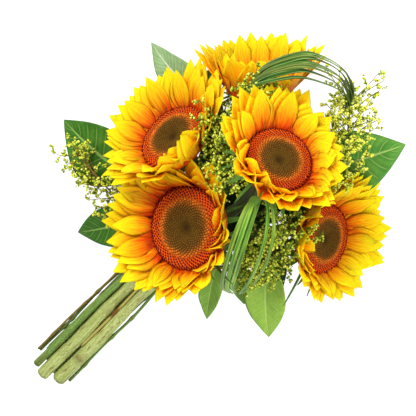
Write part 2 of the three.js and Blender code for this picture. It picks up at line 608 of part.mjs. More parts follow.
const FINISH = {
  petals: { color: 0xf7b516, roughness: 0.55 },
  disc: { color: 0x6e3a12, roughness: 0.9 },
  stem: { color: 0x86a34a, roughness: 0.6 },
  leafy: { color: 0x3f7f38, roughness: 0.4 },
  bud: { color: 0xb4bf2e, roughness: 0.7 },
  grass: { color: 0x4f8038, roughness: 0.35 },
  tie: { color: 0xb39a66, roughness: 0.9 },
};

const bunch = new THREE.Group();
const body = new THREE.Group();
bunch.add(body);
for (const name of pieces.keys()) {
  const mesh = fused(name).getMesh();
  const geometry = new THREE.BufferGeometry();
  geometry.setAttribute("position", new THREE.BufferAttribute(mesh.vertProperties.slice(), 3));
  geometry.setIndex(new THREE.BufferAttribute(mesh.triVerts.slice(), 1));
  const words = name.split("_");
  const finish = FINISH[words[0]] ?? FINISH[words.at(-1)];
  const made = new THREE.Mesh(geometry, new THREE.MeshStandardMaterial({ ...finish, metalness: 0 }));
  made.name = name;
  body.add(made);
}

const box = new THREE.Box3().setFromObject(body);
body.position.set(-(box.min.x + box.max.x) / 2, -(box.min.y + box.max.y) / 2, -box.min.z);

export default bunch;
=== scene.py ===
"""A hand-tied bunch of five sunflowers with broad leaves, sprays of small buds and two loops of grass, lying
on its side. It is laid out in millimetres from a point on the table by the tie, and set down in metres."""
import math
from collections import namedtuple

import bpy
import numpy as np
from mathutils import Matrix


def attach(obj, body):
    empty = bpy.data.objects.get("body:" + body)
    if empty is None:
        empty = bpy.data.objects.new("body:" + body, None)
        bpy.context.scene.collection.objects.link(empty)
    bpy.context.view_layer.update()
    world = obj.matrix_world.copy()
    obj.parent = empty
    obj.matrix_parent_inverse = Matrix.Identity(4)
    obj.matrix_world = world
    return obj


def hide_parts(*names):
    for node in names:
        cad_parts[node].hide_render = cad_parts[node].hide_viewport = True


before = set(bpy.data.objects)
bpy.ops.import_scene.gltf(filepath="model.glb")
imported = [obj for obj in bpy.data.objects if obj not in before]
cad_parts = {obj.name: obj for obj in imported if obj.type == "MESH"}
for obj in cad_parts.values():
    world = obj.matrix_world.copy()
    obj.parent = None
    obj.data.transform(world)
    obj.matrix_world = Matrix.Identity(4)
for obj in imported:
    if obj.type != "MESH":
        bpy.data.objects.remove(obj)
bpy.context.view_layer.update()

# ---- Sunflower stems ----
# Each sunflower stands on one thick, ribbed green stem, cut square at the foot. The stems lie side by side,
# close in at the tie and spread again under the blooms.

# At is the middle of the bloom's disc, faces the way it looks, disc its radius and petal the petals' length.
# Rise is their angle at the foot, in degrees. Where other blooms crowd them, fold and curl add to it at the
# foot and the tip, and short is the share that they lose; trim is what they lose towards low. Yellow is the
# petals' least lot. Stem is the stem's radius, bed its place across and up in the tie, cut the x of its cut
# end and way its points above the tie. Crowd is a point that the others crowd the bloom from.
BLOOMS = [
    dict(name="back", at=(229, -13, 150), faces=(.788, .064, .6), disc=27.5, petal=43, rise=36, fold=30,
         curl=46, short=.4, low=(.64, -.707, -.3), trim=.3, yellow=.05, stem=5.8, bed=(-6.2, 5.6), cut=-166,
         way=[(60, -12, 27), (110, -17, 42), (152, -18, 70)]),
    dict(name="front", at=(105, 2, 112), faces=(.01, .38, .92), disc=36, petal=48, rise=36, fold=30,
         curl=40, short=.5, low=(-.3, -.85, .2), trim=.25, yellow=0, stem=6, bed=(0, 16.1), cut=-173,
         way=[(58, -8, 44)], crowd=(165, -60, 160)),
    dict(name="right", at=(178, -92, 80), faces=(.639, -.615, .451), disc=29.5, petal=44, rise=38, fold=30,
         curl=40, short=.5, low=(-.64, -.707, .3), trim=.3, yellow=.4, stem=6.3, bed=(-13.4, 16), cut=-164,
         way=[(60, -26, 38), (110, -44, 48)], finer_bracts=1.65),
    dict(name="left", at=(153, 67, 100), faces=(.283, .749, .607), disc=31, petal=44, rise=30, fold=30,
         curl=50, short=.3, low=(-1, .1, 0), trim=.1, yellow=.3, stem=3.6, bed=(10.5, 15.5), cut=-170,
         way=[(60, 16, 40), (108, 24, 54)]),
    dict(name="top", at=(232, 46, 63), faces=(.738, .672, .02), disc=26, petal=46, rise=50, fold=36,
         curl=60, short=.25, low=(0, 0, -1), trim=0, yellow=.05, stem=5.8, bed=(6.2, 5.6), cut=-161,
         way=[(60, 6, 25), (120, 5, 36), (166, 5, 52)]),
]
CUT_END_X = -160
CUT_RAGGED = 9
SHORT_CUT = -60  # a stem cut past this x is a short one
TIE_X = 20
TIE_LIFT = 14  # how much higher a stem lies in the tie than its bed says
TIE_WIDTH = 9
END_SPREAD = 1.12
END_SINK = .9
STEM_RINGS = 90
STEM_SIDES = 22
THIN_STEM_SIDES = 10
STEM_BEHIND = (46, 30, 13)  # how far behind its bloom a stem's last points lie
MIDDLE = np.array([71.824, 3.207, 0])  # the middle of the bunch's footprint, in the layout

Skin = namedtuple("Skin", "points quads tris place lot")  # place and lot: what a material reads at each point


# the steps that part the numbers of draws: from bloom to bloom, to its bracts, from row to row of its petals,
# to the finer ones of both, and from leafy stem, spray and grass loop to the next
BLOOM_DRAWS, BRACT_DRAWS, ROW_DRAWS, BETWEEN_DRAWS, FINER_DRAWS = 100, 80, 40, 1000, 4000
LEAF_DRAWS, TWIG_DRAWS, GRASS_DRAWS = 10, 50, 30
LEAFY_STEM_DRAWS, STALK_DRAWS = 20, 30  # added for the waves of their stems


def draw(i, k):
    """A fixed draw between 0 and 1 for piece i, use k: the fraction of a large multiple of a sine."""
    x = math.sin(i * 127.1 + k * 311.7) * 43758.5453
    return x - math.floor(x)


def mix(a, b, share):
    return a + (b - a) * share


def unit(v):
    v = np.asarray(v, float)
    return v / np.linalg.norm(v, axis=-1, keepdims=True)


def curve(points, t):
    """Points at parameters t of the centripetal curve through the given points: between two neighbours it is
    a cubic, whose end slopes weigh each chord by the square root of its length."""
    p = np.asarray(points, float)
    p = np.vstack([2 * p[0] - p[1], p, 2 * p[-1] - p[-2]])
    spans = len(p) - 3
    place = np.clip(np.atleast_1d(t), 0, 1) * spans
    i = np.minimum(place.astype(int), spans - 1)
    w = (place - i)[:, None]
    a, b, c, d = p[i], p[i + 1], p[i + 2], p[i + 3]
    before, here, after = (np.linalg.norm(y - x, axis=1, keepdims=True) ** .5
                           for x, y in ((a, b), (b, c), (c, d)))
    start = ((b - a) / before - (c - a) / (before + here) + (c - b) / here) * here
    end = ((c - b) / here - (d - b) / (here + after) + (d - c) / after) * here
    return b + start * w + (3 * (c - b) - 2 * start - end) * w ** 2 + (2 * (b - c) + start + end) * w ** 3


def even(points, shares):
    """The curve's parameters at shares of its length, which is measured along 200 chords."""
    t = np.linspace(0, 1, 201)
    length = np.r_[0, np.cumsum(np.linalg.norm(np.diff(curve(points, t), axis=0), axis=1))]
    return np.interp(np.asarray(shares) * length[-1], length, t)


def heading(points, t, step=1e-4):
    t = np.atleast_1d(t)
    return unit(curve(points, np.minimum(t + step, 1)) - curve(points, np.maximum(t - step, 0)))


def stem_line(plant):
    """The stem's line: the cut end, half way to the tie, the two sides of the tie, then its own way up.
    Below the tie it lies straight, spreading and sinking to the table by an even share. A short one has no
    half way."""
    across, up = plant["bed"]
    cut = plant.get("cut", CUT_END_X + CUT_RAGGED * draw(across, up))
    longest = CUT_END_X + CUT_RAGGED
    end_height = max(up - END_SINK, 1.4)

    def below(x):
        share = max(0, (x - longest) / (TIE_X - longest))
        return np.array([x, across * mix(END_SPREAD, 1, share), mix(end_height, up + TIE_LIFT, share)])

    middle = [(below(cut) + below(TIE_X)) / 2] if cut < SHORT_CUT else []
    return ([below(cut)] + middle + [(TIE_X - TIE_WIDTH, across, up + TIE_LIFT - .4),
                                     (TIE_X + TIE_WIDTH, across, up + TIE_LIFT + .4)] + list(plant["way"]))


def skin(rings, first, last, place, lot=0., ends=None):
    """A closed surface through rings[along, around]: each ring is joined to the next, and the end rings to
    the points first and last. place[along, around] is kept for the material. Faces are turned outwards by
    the sign of the volume."""
    n, m = rings.shape[:2]
    at = np.arange(n * m).reshape(n, m)
    beside = np.roll(at, -1, axis=1)
    quads = np.stack([at[:-1], beside[:-1], beside[1:], at[1:]], -1).reshape(-1, 4)
    foot = np.stack([np.full(m, n * m), beside[0], at[0]], -1)
    head = np.stack([np.full(m, n * m + 1), at[-1], beside[-1]], -1)
    tris = np.vstack([foot, head])
    points = np.vstack([rings.reshape(-1, 3), first, last])
    ends = (place[0].mean(0), place[-1].mean(0)) if ends is None else ends
    corners = np.vstack([quads[:, :3], quads[:, [0, 2, 3]], tris])
    a, b, c = (points[corners[:, k]] - points.mean(0) for k in range(3))
    if np.einsum("ij,ij->", a, np.cross(b, c)) < 0:
        quads, tris = quads[:, ::-1], tris[:, ::-1]
    place = np.vstack([place.reshape(-1, 3), *ends])
    return Skin(points, quads, tris, place, np.full(len(points), lot, float))


def round_path(path, around):
    """Unit vectors from a path to a ring about it, [along, around]: cos and sin of an angle on two vectors
    across the path, the first of them the way that the path as a whole turns least."""
    path = np.asarray(path, float)
    ahead = unit(np.gradient(path, axis=0))
    least = np.linalg.svd(ahead)[2][-1]
    side = unit(least - (ahead @ least)[:, None] * ahead)
    up = np.cross(ahead, side)
    angle = np.arange(around) * 2 * np.pi / around
    return np.cos(angle)[None, :, None] * side[:, None] + np.sin(angle)[None, :, None] * up[:, None], angle


def rod(path, radius, around, lot=0., cut=False):
    """A tube: the path plus radius[along] or radius[along, around] times the ring's unit vectors, closed by
    a point at each end. Its place is (metres along, cos, sin). A cut end has one more ring at the foot, a
    little inside the rim, and minus 1 along in its middle."""
    path = np.asarray(path, float)
    ring, angle = round_path(path, around)
    radius = np.broadcast_to(np.asarray(radius, float).reshape(len(path), -1), ring.shape[:2])
    run = np.r_[0, np.cumsum(np.linalg.norm(np.diff(path, axis=0), axis=1))] / 1000
    place = np.stack(np.broadcast_arrays(run[:, None], np.cos(angle), np.sin(angle)), -1)
    rings = path[:, None] + radius[..., None] * ring
    ends = None
    if cut:
        rings = np.concatenate([path[None, :1] + .96 * (rings[:1] - path[:1, None]), rings])
        rim = place[:1].copy()
        rim[..., 0] = -.1
        place = np.concatenate([rim, place])
        ends = ([-1, 0, 0], place[-1].mean(0))
    return skin(rings, path[0], path[-1], place, lot, ends)


def together(parts):
    """Several skins as one, with their points numbered on."""
    points, quads, tris, place, lot = zip(*parts)
    start = np.cumsum([0] + [len(p) for p in points[:-1]])
    return Skin(np.vstack(points), np.vstack([q + s for q, s in zip(quads, start)]),
                np.vstack([t + s for t, s in zip(tris, start)]), np.vstack(place), np.concatenate(lot))


def piece(name, parts, material, node):
    """Puts the skins into one mesh, in metres in the frame, as the piece that stands for the CAD node."""
    points, quads, tris, place, lot = together(parts)
    points[:, 2] = np.maximum(points[:, 2], 0)
    mesh = bpy.data.meshes.new(name)
    mesh.vertices.add(len(points))
    mesh.vertices.foreach_set("co", ((points - MIDDLE) / 1000).astype(np.float32).ravel())
    mesh.loops.add(quads.size + tris.size)
    mesh.loops.foreach_set("vertex_index", np.concatenate([quads.ravel(), tris.ravel()]).astype(np.int32))
    mesh.polygons.add(len(quads) + len(tris))
    starts = np.concatenate([np.arange(len(quads)) * 4, quads.size + np.arange(len(tris)) * 3])
    mesh.polygons.foreach_set("loop_start", starts.astype(np.int32))
    mesh.update(calc_edges=True)
    held = mesh.attributes.new("place", "FLOAT_VECTOR", "POINT")
    held.data.foreach_set("vector", place.astype(np.float32).ravel())
    held = mesh.attributes.new("lot", "FLOAT", "POINT")
    held.data.foreach_set("value", lot.astype(np.float32))
    mesh.shade_smooth()
    mesh.materials.append(material)
    made = bpy.data.objects.new(name, mesh)
    bpy.context.collection.objects.link(made)
    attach(made, "root")
    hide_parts(node)


def paint(colour):
    """A colour written as on a paint card, #rrggbb, as the linear one that a shader takes."""
    share = [int(colour[k:k + 2], 16) / 255 for k in (1, 3, 5)]
    return [c / 12.92 if c <= .04045 else ((c + .055) / 1.055) ** 2.4 for c in share] + [1]


MIX_SHARE, MIX_A, MIX_B, MIX_COLOUR = 0, 6, 7, 2  # a Mix node's sockets for colours


class Nodes:
    """A node tree, and the few kinds of node that colours and heights are worked out with."""

    def __init__(self, tree):
        self.tree = tree

    def node(self, kind, sockets=(), **settings):
        """A new node. A socket is linked where it is given another's output, and else set."""
        made = self.tree.nodes.new(kind)
        for key, value in settings.items():
            setattr(made, key, value)
        for socket, value in dict(sockets).items():
            if isinstance(value, bpy.types.NodeSocket):
                self.tree.links.new(value, made.inputs[socket])
            else:
                made.inputs[socket].default_value = paint(value) if isinstance(value, str) else value
        return made

    def use(self, group, **sockets):
        """The outputs of a node group, placed here with its own values."""
        return self.node("ShaderNodeGroup", sockets, node_tree=group).outputs

    def held(self):
        """The place and the lot that the piece keeps at each point."""
        return (self.node("ShaderNodeAttribute", attribute_name="place").outputs["Vector"],
                self.node("ShaderNodeAttribute", attribute_name="lot").outputs["Fac"])

    def place(self):
        """The three numbers of the place, then the lot."""
        where, lot = self.held()
        return *self.node("ShaderNodeSeparateXYZ", {0: where}).outputs, lot

    def work(self, operation, *values):
        return self.node("ShaderNodeMath", enumerate(values), operation=operation).outputs[0]

    def times(self, a, b):
        return self.work("MULTIPLY", a, b)

    def less(self, a, b):
        return self.work("SUBTRACT", a, b)

    def grain(self, stretch, shift, scale, detail, rough=.5):
        """Noise at the place times stretch plus the lot times shift."""
        noise = self.use(GRAIN, Stretch=stretch, Shift=shift, Scale=scale, Detail=detail, Roughness=rough)
        return noise["Grain"]

    def ramp(self, share, stops):
        """Colours at shares, with a straight change between neighbours."""
        made = self.node("ShaderNodeValToRGB", {0: share})
        band = made.color_ramp.elements
        while len(band) < len(stops):
            band.new(.5)
        for stop, (at, colour) in zip(band, stops):
            stop.position = at
            stop.color = paint(colour)
        return made.outputs["Color"]

    def fade(self, value, low, high, kind="SMOOTHSTEP"):
        """0 at low, 1 at high, smooth between, or straight where the kind is LINEAR."""
        made = self.node("ShaderNodeMapRange", {"Value": value, "From Min": low, "From Max": high},
                         interpolation_type=kind)
        return made.outputs["Result"]

    def blend(self, share, a, b, amount=1.):
        """From colour a to colour b by a share times an amount."""
        sockets = {MIX_SHARE: share if amount == 1. else self.times(share, amount), MIX_A: a, MIX_B: b}
        made = self.node("ShaderNodeMix", sockets, data_type="RGBA", clamp_result=True)
        return made.outputs[MIX_COLOUR]


class Group(Nodes):
    """An effect that several materials use: a node group with named inputs and outputs, given by kind."""

    def __init__(self, name, inputs, outputs):
        super().__init__(bpy.data.node_groups.new(name, "ShaderNodeTree"))
        for in_out, sockets in (("INPUT", inputs), ("OUTPUT", outputs)):
            for socket, kind in sockets.items():
                self.tree.interface.new_socket(name=socket, in_out=in_out, socket_type=f"NodeSocket{kind}")
        self.given = self.node("NodeGroupInput").outputs

    def tones(self, share, low, middle, high):
        """From the group's Deep through its Mid to its Light, with a straight change between two."""
        colour = self.blend(self.fade(share, low, middle, "LINEAR"), self.given["Deep"], self.given["Mid"])
        return self.blend(self.fade(share, middle, high, "LINEAR"), colour, self.given["Light"])

    def done(self, **results):
        self.node("NodeGroupOutput", results)
        return self.tree


class Finish(Nodes):
    """A material, with a colour and a height for its surface."""

    def __init__(self, name, roughness, **sockets):
        self.material = bpy.data.materials.new(name)
        self.material.use_nodes = True
        super().__init__(self.material.node_tree)
        self.surface = self.tree.nodes["Principled BSDF"].inputs
        for socket, value in dict(sockets, Roughness=roughness).items():
            self.surface[socket.replace("_", " ")].default_value = value

    def done(self, colour, height=None, strength=.4, distance=.0005):
        self.tree.links.new(colour, self.surface["Base Color"])
        if height is not None:
            bump = self.node("ShaderNodeBump", {"Height": height, "Strength": strength, "Distance": distance})
            self.tree.links.new(bump.outputs[0], self.surface["Normal"])
        return self.material


def grain_group():
    """Noise at the piece's own place times Stretch, plus its lot times Shift."""
    looks = ("Scale", "Detail", "Roughness")
    g = Group("grain", dict(dict.fromkeys(("Stretch", "Shift"), "Vector"), **dict.fromkeys(looks, "Float")),
              dict(Grain="Float"))
    place, lot = g.held()
    shift = g.node("ShaderNodeVectorMath", {0: g.given["Shift"], "Scale": lot}, operation="SCALE").outputs[0]
    where = g.node("ShaderNodeVectorMath", {0: place, 1: g.given["Stretch"], 2: shift},
                   operation="MULTIPLY_ADD").outputs[0]
    noise = g.node("ShaderNodeTexNoise", {"Vector": where, **{look: g.given[look] for look in looks}})
    return g.done(Grain=noise.outputs["Fac"])


def shade_group():
    """Dark green, by Amount, from a little above the tie on: the middle of the bunch lies in shade."""
    g = Group("shade", dict(Colour="Color", Amount="Float"), dict(Colour="Color"))
    above = g.fade(g.place()[0], .19, .26)
    return g.done(Colour=g.blend(above, g.given["Colour"], "#26340e", g.given["Amount"]))


GRAIN = grain_group()
SHADE = shade_group()


def streak_group():
    """Pale and deeper streaks along a stem, dark specks and a fine mottle, tan scars, brown leaf scars where
    lot is over 1, shade above the tie, and pale pith at the cut. Scarred and Shaded say how much."""
    g = Group("streaks", dict(Pale="Color", Deep="Color", Scar="Color", Scarred="Float", Shaded="Float"),
              dict(Colour="Color", Height="Float"))
    along, _, _, lot = g.place()
    streak, blotch, fine, mottle = (
        g.grain((run, over, over), (37, 0, 0), scale, detail) for run, over, scale, detail in
        ((9, 2.6, 1.6, 4), (34, 1.6, 1.5, 4), (60, 9, 1.5, 3), (380, 2.4, 1.5, 5)))
    deep, scar = g.given["Deep"], g.given["Scar"]
    colour = g.blend(g.fade(streak, .4, .62), g.given["Pale"], deep, .65)
    colour = g.blend(g.fade(fine, .5, .66), colour, deep, .4)
    colour = g.blend(g.fade(mottle, .46, .64), colour, deep, .55)
    colour = g.blend(g.fade(blotch, .57, .66), colour, scar, g.given["Scarred"])
    colour = g.blend(g.fade(lot, 1., 1.7), colour, scar, .6)
    colour = g.use(SHADE, Colour=colour, Amount=g.given["Shaded"])["Colour"]
    pith = g.blend(g.fade(along, -.45, -.1), "#dfe0ae", "#a3a35c")
    colour = g.blend(g.fade(along, -.06, -.001), pith, colour)
    return g.done(Colour=colour, Height=g.work("ADD", fine, streak))


STREAKS = streak_group()


def stem_finish(name, pale, deep, scar, scarred=.7, shaded=0.):
    """Dull, with the streaks in its own colours."""
    f = Finish(name, .65, Specular_IOR_Level=.12)
    streaks = f.use(STREAKS, Pale=pale, Deep=deep, Scar=scar, Scarred=scarred, Shaded=shaded)
    return f.done(streaks["Colour"], streaks["Height"], .6, .001)


stem_green = stem_finish("stem_green", "#bcc680", "#84923f", "#7a5028", .7, .75)
stem_dark = stem_finish("stem_dark", "#86a254", "#4c742e", "#76592c", .8, .75)
bract_green = stem_finish("bract_green", "#5f8a34", "#33581c", "#6b6a2c", .3)


def wavered(path, seed):
    """A path with two slow waves of a millimetre laid over it, none at its ends."""
    share = np.linspace(0, 1, len(path))
    wave = np.stack([0 * share, np.sin(15 * share + seed), .8 * np.sin(19 * share + 2 * seed)], -1)
    return path + np.sin(np.pi * share)[:, None] * wave


def scarred(part, brown):
    """The skin of a cut rod, with brown[along, around] added to the lots of its rings. The ring at the cut
    stands before them and the two ends after."""
    first = brown.shape[1]
    part.lot[first:first + brown.size] += brown.ravel()
    return part


def ribbed(radius, line, seed):
    """A stem's skin: evenly spaced along its line, its radius times 1 plus low ribs, a slow swelling, a
    raised node where each lower leaf was stripped off, and a step to a thinner stem above the second."""
    share = np.linspace(0, 1, STEM_RINGS)
    path = wavered(curve(line, even(line, share)), seed)
    angle = np.arange(STEM_SIDES) * 2 * np.pi / STEM_SIDES
    ribs = .03 * np.cos(7 * angle + seed)[None] + .02 * np.cos(3 * angle + 9 * share[:, None] + seed)
    swell = .04 * np.sin(21 * share + seed)[:, None] + .03 * np.sin(47 * share + 2 * seed)[:, None]
    nodes = 0
    for k in range(4):
        where = .06 + .2 * k + .1 * draw(seed, 60 + k)
        turn = 2 * np.pi * draw(seed, 70 + k)
        near = np.exp(-((share - where) / .011) ** 2)[:, None]
        nodes = nodes + near * (.04 + .26 * np.maximum(0, np.cos(angle - turn))[None] ** 3)
        if k == 1:
            swell = swell + .06 * np.tanh((where - share) / .01)[:, None]
    radius = radius[:, None] * (1.02 + ribs + swell + nodes)
    return scarred(rod(path, radius, STEM_SIDES, .5 * draw(seed, 50), cut=True), np.minimum(6 * nodes, 1.2))


def noded(line, foot, head, around, seed):
    """A thin stem's skin: evenly spaced along its line in slow waves, its radius from foot to head, times 1
    plus a bell at each of three nodes, which are brown."""
    share = np.linspace(0, 1, STEM_RINGS)
    bumps = sum(np.exp(-((share - where - .12 * draw(seed, 60 + k)) / .013) ** 2)
                for k, where in enumerate((.04, .2, .34)))
    radius = np.linspace(foot, head, STEM_RINGS) * (1 + .5 * bumps)
    path = wavered(curve(line, even(line, share)), seed)
    part = rod(path, radius, around, .5 * draw(seed, 50), cut=True)
    return scarred(part, 1.2 * np.minimum(bumps, 1)[:, None] * np.ones(around))


def bloom_frame(bloom):
    """The rotation and place of a bloom: Z the way it faces, X to the side that the others crowd."""
    facing = unit(bloom["faces"])
    to_crown = np.subtract(bloom.get("crowd", (190, -10, 190)), bloom["at"])
    side = unit(to_crown - (to_crown @ facing) * facing)
    return np.stack([side, np.cross(facing, side), facing]), np.array(bloom["at"], float)


def set_on(bloom, points):
    turn, place = bloom_frame(bloom)
    return points @ turn + place


def moved(part, bloom):
    """A skin worked out in the bloom's own frame, set on the bloom."""
    return part._replace(points=set_on(bloom, part.points))


# The cup and bracts: the swollen green end of the stem under the bloom, and long pointed bracts round it
# that bend back, with narrower ones between them. They grow in one with the stem.

COLLAR_TOP = -3.4  # heights in the bloom's own frame
COLLAR_BOTTOM = -7.4
CUP_TOP = -7.7
CUP_DEPTH = 9
BRACTS = 9
BRACT_LENGTH = 27
BRACT_GRID = (12, 6)
FINER_BRACT_GRID = (14, 4)
CUP_SIDES = 40
FINER_BRACTS = 1.25  # the length of the narrow ones, where the bloom doesn't give another


def turned(profile, around, wave=0., lot=0.):
    """A solid of revolution from (radius, height) pairs, whose first and last lie on the axis, with its
    radius waved round it."""
    r, z = np.array(profile, float).T
    angle = np.arange(around) * 2 * np.pi / around
    reach = r[1:-1, None] * (1 + wave * np.cos(around / 4 * angle))
    rings = np.stack(np.broadcast_arrays(reach * np.cos(angle), reach * np.sin(angle), z[1:-1, None]), -1)
    share = np.linspace(0, 1, len(r) - 2)
    place = np.stack(np.broadcast_arrays(share[:, None], np.cos(angle)[None], np.sin(angle)[None]), -1)
    return skin(rings, [0, 0, z[0]], [0, 0, z[-1]], place, lot)


def blade(middle, half, along, across, lot=0., s0=0.):
    """A thin closed blade about middle(s, t), s along from 0 to 1 and t across from -1 to 1, with half(s, t)
    of thickness to each side. A ring of it runs over the upper face and back under the lower one, and its
    place is (s, t, side), side 1 above and -1 below."""
    s = s0 + (.985 - s0) * np.linspace(0, 1, along + 1) ** .9
    over = np.linspace(-1, 1, across + 1)
    t = np.concatenate([over, over[-2:0:-1]])
    side = np.concatenate([[0], np.ones(across - 1), [0], -np.ones(across - 1)])
    s, t, side = np.broadcast_arrays(s[:, None], t[None], side[None])
    inner, step = np.clip(s, .01, .97), .01
    ds = middle(inner + step, t) - middle(inner - step, t)
    dt = middle(inner, t + step) - middle(inner, t - step)
    up = unit(np.cross(ds, dt))
    rings = middle(s, t) + up * (half(s, t) * side)[..., None]
    one = np.array([1.])
    first = middle(s[:1, :1] * 0 + s0, t[:1, :1] * 0)[0, 0]
    last = middle(one[None], 0 * one[None])[0, 0]
    ends = ([s0, 0, 0], [1, 0, 0])
    return skin(rings, first, last, np.stack([s, t, side], -1), lot, ends)


cad_points = {name: np.array([v.co for v in node.data.vertices]) * 1000 + MIDDLE
              for name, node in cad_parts.items()}


def kept(node, tries, reach=.06, need=2):
    """The number whose blade or twig is the one on the CAD node. Each try is a number and the points that it
    gives, and it is found where at least need of them lie within reach of the node's corners."""
    corners = cad_points[node]

    def found(points):
        gap = np.linalg.norm(points[:, None] - corners[None], axis=2).min(1)
        return (gap < reach).sum()

    best = max(tries, key=lambda pair: found(pair[1]))
    return best[0] if found(best[1]) >= need else None


def bract_middle(bloom, k, seed, droop, longer=1., slim=1.):
    """out x (radius + length s (1 - droop s / 4)), less length x (s / 10 + droop s^2) of height, its width
    narrowing to a point."""
    turn = ((k + .5 + .3 * (draw(seed, 1) - .5)) / BRACTS) * 2 * np.pi
    out = np.array([np.cos(turn), np.sin(turn), 0])
    beside = np.array([-np.sin(turn), np.cos(turn), 0])
    length = BRACT_LENGTH * mix(.85, 1.15, draw(seed, 2)) * longer

    def middle(s, t):
        wide = 4.8 * slim * np.maximum(1 - s, 0) ** .8 * (.7 + .6 * s)
        fall = CUP_TOP - 3.6 - length * (.1 * s + droop * s * s) + .9 * t * t
        return ((bloom["disc"] - 10 + length * s * (1 - .25 * droop * s))[..., None] * out
                + (t * wide + (16 - 14 * slim) * (draw(seed, 4) - .5) * s * s)[..., None] * beside
                + fall[..., None] * np.array([0, 0, 1.]))
    return middle


def bract_half(thick):
    """Half the thickness: thick in the middle of the foot, less towards the edges and the tip."""
    return lambda s, t: thick * (1 - t * t) * (1 - .4 * s) * (1 - s ** 8)


# s and t of the corners that a blade of the solids has on its edge, from the tip down
EDGE = (np.array([1., .75, .75, .5, .5, .25, .25]), np.array([0., -1, 1, -1, 1, -1, 1]))

for number, bloom in enumerate(BLOOMS, 1):
    node = f"sunflower_{bloom['name']}_stem"
    line = stem_line(bloom) + [tuple(np.subtract(bloom["at"], d * unit(bloom["faces"]))) for d in STEM_BEHIND]
    thick = np.linspace(bloom["stem"], bloom["stem"] * .86, STEM_RINGS)
    parts = [ribbed(thick, line, number)]
    rim = bloom["disc"] - 2
    foot = CUP_TOP - CUP_DEPTH
    cup = [(0, foot - 7), (bloom["stem"] * .5, foot - 6.6), (bloom["stem"] + 1.5, foot - 5),
           (rim * .45, foot - 1.2), (rim * .75, CUP_TOP - CUP_DEPTH * .5), (rim * .93, CUP_TOP - 2.4),
           (rim, CUP_TOP), (rim * .9, CUP_TOP), (0, CUP_TOP)]
    cup_parts = [moved(turned(cup, CUP_SIDES, .012, draw(number, 51)), bloom)]
    for k in range(BRACTS):
        seed = number * BLOOM_DRAWS + BRACT_DRAWS + k
        droop = kept(node, [(d, set_on(bloom, bract_middle(bloom, k, seed, d)(*EDGE)))
                            for d in (mix(.1, .5, draw(seed, 3)), .3, .1, .6, .9)])
        if droop is None:
            continue
        longer = bloom.get("finer_bracts", FINER_BRACTS)
        finer = bract_middle(bloom, k + .5, seed + FINER_DRAWS, mix(.1, .45, draw(seed, 6)), longer, .5)
        bract = bract_middle(bloom, k, seed, droop)
        cup_parts += [moved(blade(bract, bract_half(.8), *BRACT_GRID, draw(seed, 5)), bloom),
                      moved(blade(finer, bract_half(.6), *FINER_BRACT_GRID, draw(seed, 7)), bloom)]
    piece(f"{bloom['name']}_stem", parts, stem_dark if bloom["name"] == "left" else stem_green,
          node)
    piece(f"{bloom['name']}_cup_and_bracts", cup_parts, bract_green, node)

# ---- Petals ----
# Soft, ribbed yellow rays in rows round the disc, let into a green-yellow collar under its rim. Where
# blooms stand together, the petals between them are pushed up over the disc.

PETALS_PER_ROW = 12
PETAL_WIDTH = 18
PETAL_THICKNESS = 1.5
PETAL_STEPS = 14  # along a petal
PETAL_ACROSS = 8
FINER_ACROSS = 6
COLLAR_SIDES = 48
BENDS = (0, 8, -8, 16, -16, 24, 32, 40, 50, 60)  # degrees that a petal may be bent up to be clear of others
BETWEEN = [(.25, -3, 19, .98), (-.23, 4, 17, 1.)]  # turn, bend, width and size of the finer ones
CROWDED = .55  # the cosine of the turn past which only one finer petal stands beside each


def petal_finish():
    """Yellow at the tip, golden in the middle and orange-red at the foot, with fine streaks and darker lines
    along the petal, and lighter under. Lot makes a petal yellower."""
    f = Finish("petal", .6, Specular_IOR_Level=.08, Subsurface_Weight=.5, Subsurface_Scale=.004,
               Subsurface_Radius=(1., .45, .05))
    along, across, side, lot = f.place()
    streak = f.grain((1.3, 9, 0), (0, 0, 61), 2, 3)
    cloud = f.grain((1.6, 2, 0), (0, 0, 29), 1.4, 2)
    reach = along
    for spread, share in ((streak, .36), (cloud, .5), (lot, .4)):
        reach = f.work("MULTIPLY_ADD", f.less(spread, .5), share, reach)
    colour = f.ramp(reach, [(0, "#b82a00"), (.12, "#dc5000"), (.28, "#f48600"), (.46, "#fcac08"),
                            (.68, "#ffc90a"), (1, "#ffdc10")])
    colour = f.blend(f.times(f.fade(streak, .52, .66), f.fade(along, .9, .1)), colour, "#cc4800", .4)
    wander = f.work("MULTIPLY_ADD", cloud, 1.2, f.work("MULTIPLY_ADD", across, 3.4, lot))
    line = f.fade(f.work("ABSOLUTE", f.less(f.work("FRACT", wander), .5)), .14, .02)
    colour = f.blend(f.times(line, f.fade(along, .85, .15)), colour, "#d24c08", .65)
    colour = f.blend(f.fade(side, .2, -.5), colour, "#ffb818", .22)
    return f.done(colour, f.work("MULTIPLY_ADD", line, -.5, streak), .6, .0009)


